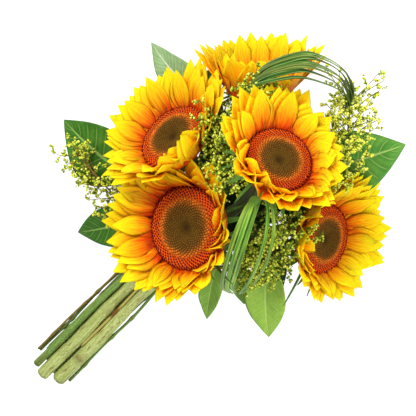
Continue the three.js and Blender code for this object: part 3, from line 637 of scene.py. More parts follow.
def petal_shape(bloom, seed, turn, row, bend, width=PETAL_WIDTH, size=1.):
    """It rises from the collar at one angle and leaves off at another, which changes evenly along it, so
    that its place is a sum of six short steps. Its edges lift, it rolls to a side, and shallow ribs run
    along it."""
    crowding = max(0, math.cos(turn)) ** 1.5
    rise = bloom["rise"] + (12 if row else 0)
    foot = min(rise + bloom["fold"] * crowding + 6 * (draw(seed, 2) - .5) + bend, 78)
    tip = rise + bloom["curl"] * crowding + 16 * (draw(seed, 3) - .5) + bend
    out = np.array([math.cos(turn), math.sin(turn), 0])
    low = bloom_frame(bloom)[0] @ bloom["low"]
    trimmed = 1 - bloom["trim"] * max(0, out[:2] @ unit(low[:2]))
    length = (size * bloom["petal"] * (.9 if row else 1) * mix(.88, 1.08, draw(seed, 4))
              * (1 - bloom["short"] * crowding) * trimmed)
    sway = .14 * (draw(seed, 5) - .5) * length
    roll = .5 * (draw(seed, 6) - .5)
    beside = np.array([-math.sin(turn), math.cos(turn), 0])
    phase = 6.3 * draw(seed, 7)
    curled = 90 * crowding * (draw(seed, 11) - .65)
    twisted = 2.4 * crowding * (draw(seed, 12) - .5)

    def middle(s, t, fine=1.):
        radius = bloom["disc"] + (.5 if row else 2.2) + 0 * s
        height = (-4.4 if row else -6.4) + 0 * s
        for i in range(6):
            angle = np.radians(mix(foot, tip + fine * curled, (i + .5) / 6 * s))
            radius = radius + np.cos(angle) * length * s / 6
            height = height + np.sin(angle) * length * s / 6
        angle = np.radians(mix(foot, tip + fine * curled, s))
        outline = np.maximum(np.sin(np.pi * np.minimum(.13 + .87 * s, 1) ** 1.15), 0) ** .85
        outline = outline * (1 - fine * .3 * (1 - crowding) * s ** 3)
        half = width / 2 * (1 + .14 * fine) * outline
        turned_over = roll + fine * twisted
        lift = half * ((.3 - .14 * fine) * np.abs(t) + np.sin(turned_over * s) * t)
        ribs = .32 * np.cos(2.5 * np.pi * t) * outline
        ribs = ribs + (.5 + 2.6 * crowding) * np.sin(8 * s + phase) * t ** 3 * outline
        lift = lift + fine * ribs
        return ((radius - np.sin(angle) * lift)[..., None] * out
                + (half * t * np.cos(turned_over * s) + sway * s * s)[..., None] * beside
                + (height + np.cos(angle) * lift)[..., None] * np.array([0, 0, 1.]))
    return middle


def petal_half(s, t):
    return (1 - t * t) * mix(1, .6, s) * PETAL_THICKNESS / 2 * (1 - s ** 8)


def petal(bloom, seed, turn, row, bend, across, *size):
    shape = petal_shape(bloom, seed, turn, row, bend, *size)
    return moved(blade(shape, petal_half, PETAL_STEPS, across, bloom["yellow"] + .55 * draw(seed, 8)), bloom)


petal_paint = petal_finish()
for number, bloom in enumerate(BLOOMS, 1):
    node = f"sunflower_{bloom['name']}_petals"
    inner, rim = bloom["disc"] - 8, bloom["disc"]
    collar = [(0, COLLAR_BOTTOM + 1), (inner, COLLAR_BOTTOM + .2), (rim + 2.6, COLLAR_BOTTOM),
              (rim + 3.6, COLLAR_BOTTOM + .8), (rim + 3.2, COLLAR_TOP - .6), (rim + 2, COLLAR_TOP),
              (inner, COLLAR_TOP - .2), (0, COLLAR_TOP - .6)]
    ring = turned(collar, COLLAR_SIDES, .01)
    parts = [moved(ring._replace(place=ring.place * 0), bloom)]
    for row in range(2):
        for k in range(PETALS_PER_ROW):
            seed = number * BLOOM_DRAWS + row * ROW_DRAWS + k + 1
            turn = ((k + row / 2 + .3 * (draw(seed, 1) - .5)) / PETALS_PER_ROW) * 2 * math.pi
            bend = kept(node, [(b, set_on(bloom, petal_shape(bloom, seed, turn, row, b)(*EDGE, 0.)))
                               for b in BENDS])
            if bend is None:
                continue
            parts.append(petal(bloom, seed, turn, row, bend, PETAL_ACROSS))
            # finer petals of the same row stand before and behind the gaps to its neighbours
            for n, (aside, lower, *size) in enumerate(BETWEEN[:1 if math.cos(turn) > CROWDED else 2]):
                between = seed + BETWEEN_DRAWS * (n + 2)
                aside = (aside + .12 * (draw(between, 9) - .5)) * 2 * math.pi / PETALS_PER_ROW
                parts.append(petal(bloom, between, turn + aside, row, bend + lower, FINER_ACROSS, *size))
    piece(f"{bloom['name']}_petals", parts, petal_paint, node)

# ---- Discs ----
# The dark middle of each bloom: a shallow dish of florets in spirals, shut and olive-brown in the middle,
# open in an orange and maroon ring at the rim.

FLORETS = 800
FLORET_SPREAD = .62  # their radius grows with this power of their number, so that the outer ones are larger
FLORET_REACH = 1.07  # the outermost stand on the collar, over the feet of the petals
FLORET_SIDES = 5
GOLDEN_TURN = math.radians(137.50776)
DISH = .97  # the dish's radius, of the disc's
DISH_STEPS = 24
DISH_SIDES = 64


def disc_finish():
    """By the share of the radius: olive-brown, then rust, then orange-red florets that each have a maroon
    mouth, with darker ones scattered over the middle."""
    f = Finish("disc", .9, Specular_IOR_Level=.05)
    share, tall, _, lot = f.place()
    ragged = f.work("MULTIPLY_ADD", f.less(lot, .5), .12, share)
    ground = f.ramp(ragged, [(0, "#30200a"), (.2, "#4a340e"), (.54, "#4a2e0c"), (.68, "#88420e"),
                             (.8, "#c85214"), (1, "#d85014")])
    crest = f.ramp(ragged, [(0, "#3a280c"), (.2, "#664a18"), (.48, "#6e4c1c"), (.6, "#805420"),
                            (.7, "#c87024"), (.8, "#ee8226"), (.92, "#f47e22"), (1, "#f8861e")])
    colour = f.blend(f.fade(tall, .2, .8), ground, crest)
    colour = f.blend(f.times(f.fade(lot, .45, 1.), f.fade(share, .68, .5)), colour, "#2a1a08", .45)
    return f.done(f.blend(f.times(f.fade(share, .7, .8), f.fade(tall, .7, .76)), colour, "#5a0c0c"))


def dish(share):
    """The height of the dish at a share of its radius: a raised ring, lower in the middle and past it."""
    ring = 2.4 * np.sin(np.pi * np.minimum(1, share * 1.02)) ** 2 - 2.2 * (1 - share) ** 2 + .6
    return ring - 34 * np.maximum(share - 1, 0)


def knobs(points, rings, around, place, lots):
    """A skin of small closed knobs from points[knob, point]: in each, rings of points, joined each to the
    next, and then the points that close the first and the last ring. Place is one number for each point."""
    count, size = points.shape[:2]
    i = np.arange(around)
    j = (i + 1) % around
    quads = np.vstack([np.stack([i, j, j + around, i + around], -1) + around * n for n in range(rings - 1)])
    last = around * (rings - 1)
    tris = np.vstack([np.stack([0 * i + size - 2, j, i], -1),
                      np.stack([i + last, j + last, 0 * i + size - 1], -1)])
    start = (np.arange(count) * size)[:, None, None]
    return Skin(points.reshape(-1, 3), (start + quads).reshape(-1, 4), (start + tris).reshape(-1, 3),
                np.stack([place, 0 * place, 0 * place], -1), np.repeat(lots, size))


def florets(disc, seed):
    """Small five-sided knobs in a spiral: each turns by the golden angle from the last, at a radius that
    grows with a power of its number. A knob is two rings and a point, leaning out towards the rim."""
    k = np.arange(FLORETS)
    share = ((k + .5) / FLORETS) ** FLORET_SPREAD * FLORET_REACH
    turn = k * GOLDEN_TURN
    lots = np.modf(np.abs(np.sin(k * 12.9898 + seed) * 4375.85))[0]
    wide = disc * mix(.02, .041, share)
    tall = mix(.5, 1.5, np.clip((share - .35) / .5, 0, 1)) * mix(.8, 1.2, lots)
    lean = .35 * np.clip(share - .4, 0, 1)
    each = np.ones(FLORET_SIDES)
    out = (disc * DISH * share)[:, None] + np.outer(tall * lean, np.r_[-.5 * each, .75 * each, 0, 1])
    reach = np.outer(wide, np.r_[each, .72 * each, 0, 0])
    around = turn[:, None] + np.r_[np.tile(np.arange(FLORET_SIDES) * 2 * np.pi / FLORET_SIDES, 2), 0, 0]
    height = dish(share)[:, None] + np.outer(tall, np.r_[-.5 * each, .75 * each, -.6, 1])
    points = np.stack([out * np.cos(turn)[:, None] + reach * np.cos(around),
                       out * np.sin(turn)[:, None] + reach * np.sin(around), height], -1)
    part = knobs(points, 2, FLORET_SIDES, np.repeat(share, points.shape[1]), lots)
    part.place[:, 1] = np.tile(np.r_[0 * each, .8 * each, 0, 1], FLORETS)
    return part


disc_paint = disc_finish()
for number, bloom in enumerate(BLOOMS, 1):
    top = bloom["disc"] * DISH
    bottom = COLLAR_TOP + .3
    shares = np.linspace(1, 0, DISH_STEPS)
    base = turned([(0, bottom), (top * .96, bottom), *zip(top * shares, dish(shares))], DISH_SIDES)
    share = np.hypot(base.points[:, 0], base.points[:, 1]) / top
    base = base._replace(place=np.stack([share, 0 * share, 0 * share], -1), lot=base.lot + .3)
    parts = [moved(base, bloom), moved(florets(bloom["disc"], number), bloom)]
    piece(f"{bloom['name']}_disc", parts, disc_paint, f"sunflower_{bloom['name']}_disc")

# ---- Leafy stems ----
# Broad, smooth-edged leaves with a pale midrib and side veins that arch to the edge, on thin woody stems.
# They back the blooms and fill the underside.

LEAF_THICKNESS = .9
LEAF_GRID = (44, 20)
PITCHES = (0, -5, 5, -10, 10, -16, 16, -24, 24, 32)  # how far a leaf's tip may be moved up to be clear
LEAFY = [  # each leaf: its base, tip, width, arch and lot
    dict(name="left", green="leaf_green", stem=1.6, bed=(17.2, 10.3),
         way=[(48, 28, 33), (57, 46, 41), (72, 74, 50)],
         leaves=[((50, 34, 36), (-33, 74, 32), 42, 7, .25), ((72, 74, 50), (66, 153, 53), 60, 8, .35)]),
    dict(name="upper", green="leaf_pale", stem=1.4, bed=(13.2, 9.4),
         way=[(60, 26, 19), (110, 46, 24), (150, 62, 28), (170, 74, 31)],
         leaves=[((170, 74, 31), (173, 144, 30), 34, 8, .3)]),
    dict(name="right", green="leaf_fresh", stem=1.6, bed=(-17.7, 9.3),
         way=[(60, -30, 20), (110, -35, 24), (160, -39, 32), (205, -45, 41)],
         leaves=[((205, -45, 41), (279, -83, 44), 60, 8, .35)]),
    dict(name="lower", green="leaf_fresh", stem=1.6, bed=(-21.2, 12.2),
         way=[(62, -44, 36), (84, -60, 41), (98, -72, 45)],
         leaves=[((62, -44, 36), (11, -74, 29), 22, 6, .9), ((84, -60, 41), (53, -88, 34), 22, 5, .7),
                 ((102, -77, 44), (49, -126, 38), 40, 7, 1.2)]),
    dict(name="middle", green="leaf_dark", stem=1.2, bed=(.2, 1.9),
         way=[(60, -2, 9), (80, -3, 10), (98, -4, 11)],
         leaves=[((98, -4, 11), (194, 42, 24), 58, 5, .1), ((80, -3, 10), (168, -46, 22), 54, 5, .2)]),
    dict(name="under_right", green="leaf_dark", stem=1.6, bed=(-14.2, 4.4),
         way=[(60, -32, 13), (110, -46, 12), (140, -58, 12)],
         leaves=[((140, -58, 12), (206, -92, -.3), 44, 4, .2), ((108, -45, 12), (78, -104, -.3), 40, 4, .3)]),
    dict(name="under_left", green="leaf_dark", stem=1.4, bed=(13.6, 4.4),
         way=[(60, 30, 12), (100, 44, 12), (126, 54, 12)],
         leaves=[((126, 54, 12), (186, 90, -.4), 46, 4, .2), ((100, 44, 12), (88, 108, -.4), 34, 4, .3)]),
]
LEAF_GREENS = dict(leaf_green=("#1c4410", "#3a6c1e", "#6f9a36", "#93b45c", "#8fa878"),
                   leaf_fresh=("#2c6a1c", "#56923a", "#96bc4c", "#b4d070", "#93ae78"),
                   leaf_dark=("#0a1c06", "#16300c", "#2c4c16", "#42602a", "#2e4420"),
                   leaf_pale=("#4c7040", "#86a672", "#b8cca4", "#d4dfc4", "#a8bc98"))
SIDE_VEINS = 9
VEIN_SLANT = .17


def vein_group():
    """A leaf's green, lighter by lot and between the veins, with a midrib, side veins at a slant and a fine
    dark net, and another green under."""
    g = Group("veins", dict.fromkeys(("Deep", "Mid", "Light", "Vein", "Under"), "Color"),
              dict(Colour="Color", Height="Float"))
    along, across, side, lot = g.place()
    away = g.work("ABSOLUTE", across)
    cloud, net = (g.grain((3, 1, 0), (0, 0, 47), *look) for look in ((1.6, 3), (14, 4, .6)))
    slant = g.less(along, g.times(away, VEIN_SLANT))
    ridge = g.work("ABSOLUTE", g.less(g.work("FRACT", g.times(slant, SIDE_VEINS)), .5))
    side_vein = g.times(g.fade(ridge, .1, .02), g.fade(away, 1., .6))
    midrib = g.fade(away, .075, .02)
    tone = g.work("MULTIPLY_ADD", cloud, .6, g.times(lot, .55))
    colour = g.tones(g.work("ADD", tone, g.times(g.less(ridge, .25), .35)), .15, .5, 1)
    colour = g.blend(g.fade(net, .5, .7), colour, g.given["Deep"], .3)
    colour = g.blend(g.work("MAXIMUM", g.times(side_vein, .5), midrib), colour, g.given["Vein"], .75)
    colour = g.blend(g.fade(side, -.2, .5), colour, g.given["Under"], .75)
    return g.done(Colour=colour, Height=g.less(g.times(ridge, .8), g.times(midrib, .5)))


VEINS = vein_group()


def leaf_finish(name, deep, mid, light, vein, under):
    """Slightly glossy, with the veins in its own greens."""
    f = Finish(name, .6, Specular_IOR_Level=.1)
    veins = f.use(VEINS, Deep=deep, Mid=mid, Light=light, Vein=vein, Under=under)
    return f.done(veins["Colour"], veins["Height"], .5, .0012)


def leaf_shape(base, tip, width, arch, pitch, seed):
    """Straight from base to tip, plus an arch that is a half sine, a shallow fold along the midrib, and an
    edge that waves up and down. Its width is a sine of its length, fullest before the middle."""
    tip = np.array(tip, float) + [0, 0, pitch]
    base = np.array(base, float)
    base = base - 4 * unit(tip - base)
    along = tip - base
    beside = unit(np.cross(along, [0, 0, 1]))
    up = unit(np.cross(beside, along))

    def middle(s, t, fine=1.):
        outline = np.maximum(np.sin(np.pi * np.minimum(.03 + .97 * s, 1) ** .82), 0) ** .95
        half = width / 2 * outline
        wave = 1.2 * np.sin(9 * s + seed) * t * t + fine * .8 * np.sin(17 * s + 2 * seed) * np.abs(t) ** 3
        slant = (s - VEIN_SLANT * np.abs(t)) * SIDE_VEINS
        quilt = fine * .35 * np.abs(np.sin(np.pi * slant)) * np.abs(t) * (1 - t * t)
        rise = arch * np.sin(np.pi * np.clip(s, 0, 1)) + .16 * half * np.abs(t) + (wave + quilt) * outline
        return base + s[..., None] * along + (half * t)[..., None] * beside + rise[..., None] * up
    return middle


def leaf_half(s, t):
    return LEAF_THICKNESS / 2 * (1 - t ** 4) * (1 - s ** 8) + .05


leaf_paint = {name: leaf_finish(name, *greens) for name, greens in LEAF_GREENS.items()}
for number, plant in enumerate(LEAFY, 1):
    node = f"leafy_stem_{plant['name']}"
    stem = noded(stem_line(plant), plant["stem"], plant["stem"] * .7, THIN_STEM_SIDES,
                 number + LEAFY_STEM_DRAWS)
    leaves = []
    for k, (base, tip, width, arch, lot) in enumerate(plant["leaves"]):
        seed = number * LEAF_DRAWS + k
        tries = [(p, leaf_shape(base, tip, width, arch, p, seed)(EDGE[0][:3], EDGE[1][:3], 0.))
                 for p in PITCHES]
        pitch = kept(node, tries, .5, 1) or 0
        leaves.append(blade(leaf_shape(base, tip, width, arch, pitch, seed), leaf_half, *LEAF_GRID, lot))
    piece(f"{plant['name']}_leaves", leaves, leaf_paint[plant["green"]], node)
    piece(f"{plant['name']}_leaf_stem", [stem], stem_dark, node)

# ---- Sprays of buds ----
# Thin branching stalks set with hundreds of tiny round green-yellow buds, which fill the gaps between the
# blooms and stand out round them.

# Start is the share of the stalk where its twigs begin, reach their length and lean the way that they lean.
# First numbers the lowest, finer says how many finer twigs stand between each two, spread is how much longer
# they are at the top of the spray, and towards gives points that some more twigs aim at. The last key, where
# a spray has one, is the least lot of its buds: painted light, which lightens the buds of the sprays that
# stand out in the light round the bunch.
SPRAYS = [
    dict(name="left", stem=1.2, bed=(19, 13.5), way=[(44, 28, 47), (52, 58, 63), (60, 90, 76), (66, 120, 84)],
         start=.66, twigs=10, reach=34, lean=(-.6, .6, .3), spread=1.1, painted_light=.2),
    dict(name="centre", stem=1.3, bed=(5.6, 21.4), cut=-4,
         way=[(52, 9, 50), (105, 8, 66), (150, 8, 94), (184, 10, 124)],
         start=.74, twigs=11, reach=30, lean=(.1, .1, .9), finer=1,
         towards=[(136, 34, 66), (130, 36, 60), (140, 30, 74)]),
    dict(name="middle", stem=1.2, bed=(8.6, 23), cut=2,
         way=[(56, 14, 56), (108, 15, 70), (156, 16, 88), (200, 44, 114)],
         start=.78, twigs=10, reach=28, lean=(.3, .3, .8), first=-3,
         towards=[(200, 54, 62), (206, 50, 74), (196, 56, 80), (212, 58, 84), (208, 60, 70)]),
    dict(name="upper", stem=1.2, bed=(-.8, 24.4), cut=-8,
         way=[(60, 2, 56), (110, -4, 70), (170, 4, 88), (222, 26, 108), (246, 40, 124)],
         start=.84, twigs=8, reach=24, lean=(.5, .3, .6), first=-5, finer=3),
    dict(name="right", stem=1.3, bed=(-6.9, 21.4), cut=-112,
         way=[(60, -20, 50), (110, -31, 58), (170, -40, 74), (225, -48, 82), (262, -40, 88), (290, -20, 97)],
         start=.72, twigs=15, reach=36, lean=(.5, .1, .5), finer=4, painted_light=.45,
         towards=[(142, -54, 50), (150, -56, 60), (136, -50, 58)]),
    dict(name="front", stem=1.2, bed=(-19.7, 21.7), cut=-2,
         way=[(60, -40, 50), (92, -56, 62), (120, -66, 80), (150, -66, 98), (178, -58, 112)],
         start=.6, twigs=12, reach=30, lean=(-.1, -.5, .7), first=-5, finer=3,
         towards=[(100, -44, 54), (96, -48, 68), (106, -40, 60), (104, -52, 50), (110, -48, 70)]),
]
STALK_HEAD = .7
STALK_SIDES = 8
BUD_RADIUS = 1.6
BUD_LENGTH = 1.15
BUD_RINGS = np.radians([50, 95, 140])
BUD_SIDES = 6
BUDS_PER_TWIG = 6
TWIG_RADIUS = .5
TWIG_RINGS = 6
TWIG_SIDES = 5
TWIG_SIZES = (1, .7, .45)
FINER_SIZE = .85
TWIG_TURN = 2.39996  # the golden angle again
SUB_TWIGS = 5
SUB_TWIG_RADIUS = .22
SUB_TWIG_SIDES = 4
AIMED = 100  # aimed twigs are numbered from here on
FINER = 2
SPREAD = 1.65


def bud_finish():
    """Lime yellow on the side of the bud away from its stalk, darker green where it sits."""
    f = Finish("bud", .7, Specular_IOR_Level=.1)
    tall, _, _, lot = f.place()
    green = f.ramp(lot, [(0, "#4e6c14"), (.25, "#98ac28"), (.6, "#ccd43e"), (1, "#ece868")])
    return f.done(f.blend(f.fade(tall, .75, .1), green, "#5c7a1e"))


def stalk_finish():
    """Olive-tan for the main stalk, whose lot is 1 lower than the twigs'; brown at its nodes; dark green to
    brown for the twigs; darker in the middle of the bunch."""
    f = Finish("stalk", .7, Specular_IOR_Level=.1)
    lot = f.place()[3]
    colour = f.ramp(f.work("MULTIPLY_ADD", lot, .5, .5),
                    [(0, "#a09c50"), (.25, "#a89c54"), (.4, "#6e4a1e"), (.5, "#2c4012"), (.8, "#586c22"),
                     (1, "#5e4c20")])
    return f.done(f.use(SHADE, Colour=colour, Amount=.75)["Colour"])


def buds(spots, sizes, ways, seed, painted_light):
    """Small round buds: three rings of six and two poles on a sphere, a little longer along its own way.
    The least lot that it is given is painted light, which takes the darker greens away."""
    ways = unit(ways)
    aside = unit(np.cross(ways, [.3, .5, .8124]))
    basis = np.stack([aside, np.cross(ways, aside), ways], 1)
    turn = np.tile(np.arange(BUD_SIDES) * 2 * np.pi / BUD_SIDES, len(BUD_RINGS))
    polar = np.repeat(BUD_RINGS, BUD_SIDES)
    ball = np.stack([np.sin(polar) * np.cos(turn), np.sin(polar) * np.sin(turn),
                     -BUD_LENGTH * np.cos(polar)], -1)
    ball = np.vstack([ball, [0, 0, -BUD_LENGTH], [0, 0, BUD_LENGTH]])
    points = spots[:, None] + sizes[:, None, None] * np.einsum("pk,nkc->npc", ball, basis)
    tall = np.tile((ball[:, 2] / BUD_LENGTH + 1) / 2, len(spots))
    lots = np.modf(np.abs(np.sin(np.arange(len(spots)) * 78.233 + seed) * 4375.85))[0]
    # painted light: the least lot lifts the buds of the outer sprays into the lighter greens
    return knobs(points, len(BUD_RINGS), BUD_SIDES, tall, painted_light + (1 - painted_light) * lots)


def sideways(way, seed):
    return unit(np.cross([draw(seed, 7) - .5, draw(seed, 8) - .5, draw(seed, 9) - .5], way))


def twig_line(start, way, length, seed):
    """A straight twig that drops a little towards its tip, with a slow wave across its way."""
    s = np.linspace(0, 1, TWIG_RINGS)[:, None]
    return start + way * length * s - [0, 0, .08 * length] * s * s + sideways(way, seed) * .5 * np.sin(7 * s)


def twig_end(start, way, reach, seed):
    """Where a CAD twig of that reach ends: it zigzags about its line, and its last step lies to one side."""
    return start + way * reach - 1.1 * sideways(way, seed) - [0, 0, .08 * reach]


def in_a_bloom(spots):
    """True where a point lies in a disc or its cup, or under the table."""
    hidden = spots[:, 2] < 2.5
    for bloom in BLOOMS:
        turn, place = bloom_frame(bloom)
        x, y, z = ((spots - place) @ turn.T).T
        hidden |= (np.hypot(x, y) < bloom["disc"] + 2) & (z < 2.5) & (z > -16)
    return hidden


def twig_way(plant, line, k, seed):
    """Where twig k leaves the stalk, its way and its length. The way turns by the golden angle from twig to
    twig, and leans with the stalk and the spray; an aimed one leaves from the nearest point of the stalk."""
    share = (k + .5) / plant["twigs"]
    if k > AIMED:
        target = np.array(plant["towards"][int(k) - AIMED], float)
        stalk = curve(line, even(line, np.linspace(0, 1, STEM_RINGS)))
        nearest = np.linalg.norm(stalk - target, axis=1).argmin() / (STEM_RINGS - 1)
        share = (nearest - plant["start"]) / (1 - plant["start"])
    start = curve(line, even(line, [min(1, mix(plant["start"], .995, share))]))[0]
    if k > AIMED:
        return start, unit(target - start), np.linalg.norm(target - start) / FINER_SIZE
    ahead = heading(line, even(line, [min(1, mix(plant["start"], .99, share))]))[0]
    turn = k * TWIG_TURN + (k % 1) * 7
    a = unit(np.cross([0, 0, 1], ahead))
    way = (.45 * ahead + .5 * unit(plant["lean"]) + .85 * math.cos(turn) * a
           + .85 * math.sin(turn) * np.cross(ahead, a))
    length = plant["reach"] * mix(.65, 1.05, draw(seed, 2)) * (1 - .3 * share)
    return start, unit(way), length * (mix(1.25, plant.get("spread", SPREAD), share) if k % 1 else 1)


def side_twig(path, way, beside, j, seed):
    """Side twig j of a twig, and its buds: their spots, sizes and ways. It stands out to a side that turns
    from one to the next, and the buds sit about its outer two thirds."""
    sub = seed * 10 + j
    root = path[min(TWIG_RINGS - 1, 1 + j)]
    angle = 2.4 * j + seed
    out = unit(way * .6 + math.cos(angle) * beside + math.sin(angle) * np.cross(way, beside))
    reach = (5 + 7 * draw(sub, 3)) * (1 - .08 * j)
    path = root + out * reach * np.linspace(0, 1, 3)[:, None]
    lines = rod(path, np.full(3, SUB_TWIG_RADIUS), SUB_TWIG_SIDES, draw(sub, 54))
    lifts = [unit([draw(sub, 11 + m) - .5, draw(sub, 21 + m) - .5, draw(sub, 31 + m) - .3])
             for m in range(BUDS_PER_TWIG)]
    return lines, [(root + out * reach * mix(.35, 1.1, m / (BUDS_PER_TWIG - 1)) + lift * 1.5,
                    BUD_RADIUS * mix(.5, .85, draw(sub, 41 + m)), out + .6 * lift)
                   for m, lift in enumerate(lifts)]


bud_paint = bud_finish()
stalk_paint = stalk_finish()
stalk_brown = stem_finish("stalk_brown", "#9a8044", "#705a2c", "#56401c")
for number, plant in enumerate(SPRAYS, 1):
    node = f"bud_spray_{plant['name']}"
    line = stem_line(plant)
    stalk = noded(line, plant["stem"], STALK_HEAD, STALK_SIDES, number + STALK_DRAWS)
    parts = [stalk._replace(lot=np.minimum(stalk.lot - 1, -.2))]
    bunch = []
    turns = np.arange(plant.get("first", 0), plant["twigs"], 1 / (plant.get("finer", FINER) + 1))
    for k in [*turns, *(np.arange(len(plant.get("towards", []))) + AIMED + .5)]:
        seed = number * TWIG_DRAWS + k
        start, way, length = twig_way(plant, line, k, seed)
        size = FINER_SIZE if k % 1 or k < 0 else kept(
            node, [(z, twig_end(start, way, length * z, seed)[None]) for z in TWIG_SIZES], 1., 1)
        if size is None:
            continue
        path = twig_line(start, way, length * size, seed)
        parts.append(rod(path, np.linspace(TWIG_RADIUS, .3, TWIG_RINGS), TWIG_SIDES, draw(seed, 54)))
        for j in range(SUB_TWIGS):
            lines, more = side_twig(path, way, sideways(way, seed), j, seed)
            parts.append(lines)
            bunch += more
    spots, sizes, ways = (np.array(values) for values in zip(*bunch))
    clear = ~in_a_bloom(spots)
    # the buds' least lot is painted light, higher for the left and right sprays that stand out in the light
    bunch = buds(spots[clear], sizes[clear], ways[clear], number, plant.get("painted_light", 0.))
    piece(f"{plant['name']}_buds", [bunch], bud_paint, node)
    stalks = stalk_brown if plant["name"] == "left" else stalk_paint
    piece(f"{plant['name']}_stalks", parts, stalks, node)

# ---- Grass loops ----
# Long dark blades of grass, in two tufts. Each tuft is folded over in an arch and its tips are tucked back
# in among the blooms.

GRASS_WIDTH = 4.6
GRASS_THICKNESS = 1.1
BLADES = 5
BLADE_GRID = (60, 6)
LOOSE_NARROWER = 1.6
# Fan is the step from blade to blade, lift raises every other one, and across is the way that their width
# lies. Finer gives the numbers of the loose, finer blades, which stand among and beside the five.
GRASS = [
    dict(name="upper", paint=("grass_dark", "#16340c", "#2e5a1c", "#5c8034"), stem=1.3, bed=(12.4, 21.2),
         cut=0, way=[(60, 23, 50), (112, 26, 66), (150, 24, 80), (206, 35, 92)],
         arch=[(221, 41, 98), (243, 47, 114), (267, 46, 130), (288, 38, 140), (303, 28, 143), (310, 13, 139),
               (310, -2, 130), (302, -15, 119), (288, -22, 107)],
         fan=(3.1, 1.5, -1.4), lift=(.4, -.3, .9), across=(.27, -.83, .48), finer=(1.5, 3.5, -1.6)),
    dict(name="front", paint=("grass", "#386214", "#5f9228", "#9cbc40"), stem=1.3, bed=(-12.5, 23.9), cut=-6,
         way=[(60, -26, 49), (100, -36, 64), (142, -30, 92), (172, -22, 116)],
         arch=[(180, -25, 125), (176, -29, 139), (161, -38, 147), (135, -49, 137), (105, -59, 113),
               (84, -66, 91), (76, -73, 76)],
         fan=(3.3, -3.8, -1.5), lift=(.8, 0, 1.7), across=(.64, -.71, -.3), finer=(5.1, 6.5)),
]
GRASS_STALK_HEAD = 3
GRASS_STALK_RINGS = 70


def stripe_group():
    """A blade's green in clouds, with pale lines along it that are painted highlights of its gloss, and dark
    ones between; some are browner.
    """
    g = Group("stripes", dict.fromkeys(("Deep", "Mid", "Light"), "Color"),
              dict(Colour="Color", Height="Float"))
    _, across, _, lot = g.place()
    stripe = g.work("ABSOLUTE", g.less(g.work("FRACT", g.work("MULTIPLY_ADD", across, .8, lot)), .5))
    colour = g.tones(g.grain((5, 1, 0), (0, 0, 43), 1.2, 2), .3, .5, .7)
    # painted highlight: pale lines along the blade stand for the glints on its gloss
    colour = g.blend(g.fade(stripe, .42, .48), colour, "#c0d488", .5)
    colour = g.blend(g.fade(stripe, .12, .02), colour, "#183408", .5)
    colour = g.blend(g.fade(lot, .6, 1.), colour, "#8b8b3c", .35)
    return g.done(Colour=colour, Height=stripe)


STRIPES = stripe_group()


def grass_finish(name, deep, mid, light):
    """Glossy, with the stripes in its own greens."""
    f = Finish(name, .4, Specular_IOR_Level=.1)
    stripes = f.use(STRIPES, Deep=deep, Mid=mid, Light=light)
    return f.done(stripes["Colour"], stripes["Height"], .6, .0006)


def grass_shape(plant, k, seed):
    """A ribbon along the arch of its tuft: the arch moved by the fan times the blade's number, swelled about
    its top, and lifted for every other blade. It opens out from the stalk over the first few points. The
    loose, finer blades among and beside the others are narrower and stand further out at their tops."""
    arch = np.array(plant["arch"], float)
    end = len(arch) - 1
    top = arch[end // 2]
    wide = unit(plant["across"])
    loose = k not in range(BLADES)
    opened = mix(.15 if loose else .45, 1, np.sin(np.pi * np.arange(end + 1) / end))[:, None]
    swell = .1 * (draw(seed, 1) - .5) + .15 * loose
    line = (arch + np.multiply(plant["fan"], k - (BLADES - 1) / 2) * opened + (arch - top) * swell * opened
            + np.multiply(plant["lift"], k % 2) * opened)
    line = np.vstack([line[0] - 4 * unit(line[1] - line[0]), line])

    def middle(s, t, fine=1.):
        u = np.clip(s, 0, 1)
        half = (GRASS_WIDTH - LOOSE_NARROWER * loose) / 2 * np.minimum(1, np.minimum(.3 + 4 * s, 4.4 - 4 * s))
        flat = u.ravel()
        ahead = heading(line, flat)
        beside = unit(wide - (ahead @ wide)[:, None] * ahead)
        spot = curve(line, flat) + beside * (half * t).ravel()[:, None]
        spot = spot + ahead * ((s - u).ravel() * 50)[:, None]
        up = np.cross(ahead, beside)
        return (spot - fine * .25 * (1 - (t.ravel() ** 2))[:, None] * up).reshape(s.shape + (3,))
    return middle


def grass_half(s, t):
    return GRASS_THICKNESS / 2 * (1 - t * t) * .8


for number, plant in enumerate(GRASS, 1):
    node = f"grass_loop_{plant['name']}"
    line = stem_line(plant) + [plant["arch"][0]]
    stalk = curve(line, even(line, np.linspace(0, 1, GRASS_STALK_RINGS)))
    thick = np.linspace(plant["stem"], GRASS_STALK_HEAD, GRASS_STALK_RINGS)
    blades = []
    for k in [*range(BLADES), *plant["finer"]]:
        seed = number * GRASS_DRAWS + k
        shape = grass_shape(plant, k, seed)
        if k not in range(BLADES) or kept(node, [(1, shape(*EDGE, 0.))], .08):
            blades.append(blade(shape, grass_half, *BLADE_GRID, draw(seed, 2)))
    piece(f"{plant['name']}_grass", blades, grass_finish(*plant["paint"]), node)
    stem = rod(stalk, thick, THIN_STEM_SIDES, .5, cut=True)
    piece(f"{plant['name']}_grass_stalk", [stem], stem_dark, node)

# ---- Tie ----
# Soft natural twine, wound five times round all the stems just under the front bloom.

# the bundle's section: its low and high side across, its foot and head, and the radius of its corners
TIE_SECTION = (-24.2, 20.9, 13.9, 42.2, 9.6)
TIE_THICKNESS = 1.8
TIE_TURNS = 5
TIE_STEPS = 90  # points in a turn
TWINE_SIDES = 8


def twine_finish():
    """Tan strands, twisted: light and dark bands at a slant round the cord, with loose fibres."""
    f = Finish("twine", .9, Specular_IOR_Level=.15)
    along, x, y, _ = f.place()
    slant = f.work("ADD", f.times(along, 900.), f.work("ARCTAN2", y, x))
    strand = f.work("MULTIPLY_ADD", f.work("SINE", f.times(slant, 2.)), .5, .5)
    fibre = f.grain((300, 1, 1), (0, 0, 0), 2, 3)
    colour = f.ramp(f.work("MULTIPLY_ADD", strand, .7, f.times(fibre, .3)),
                    [(0, "#6e5528"), (.4, "#a5854a"), (1, "#cdb179")])
    return f.done(colour, strand, .8, .0006)


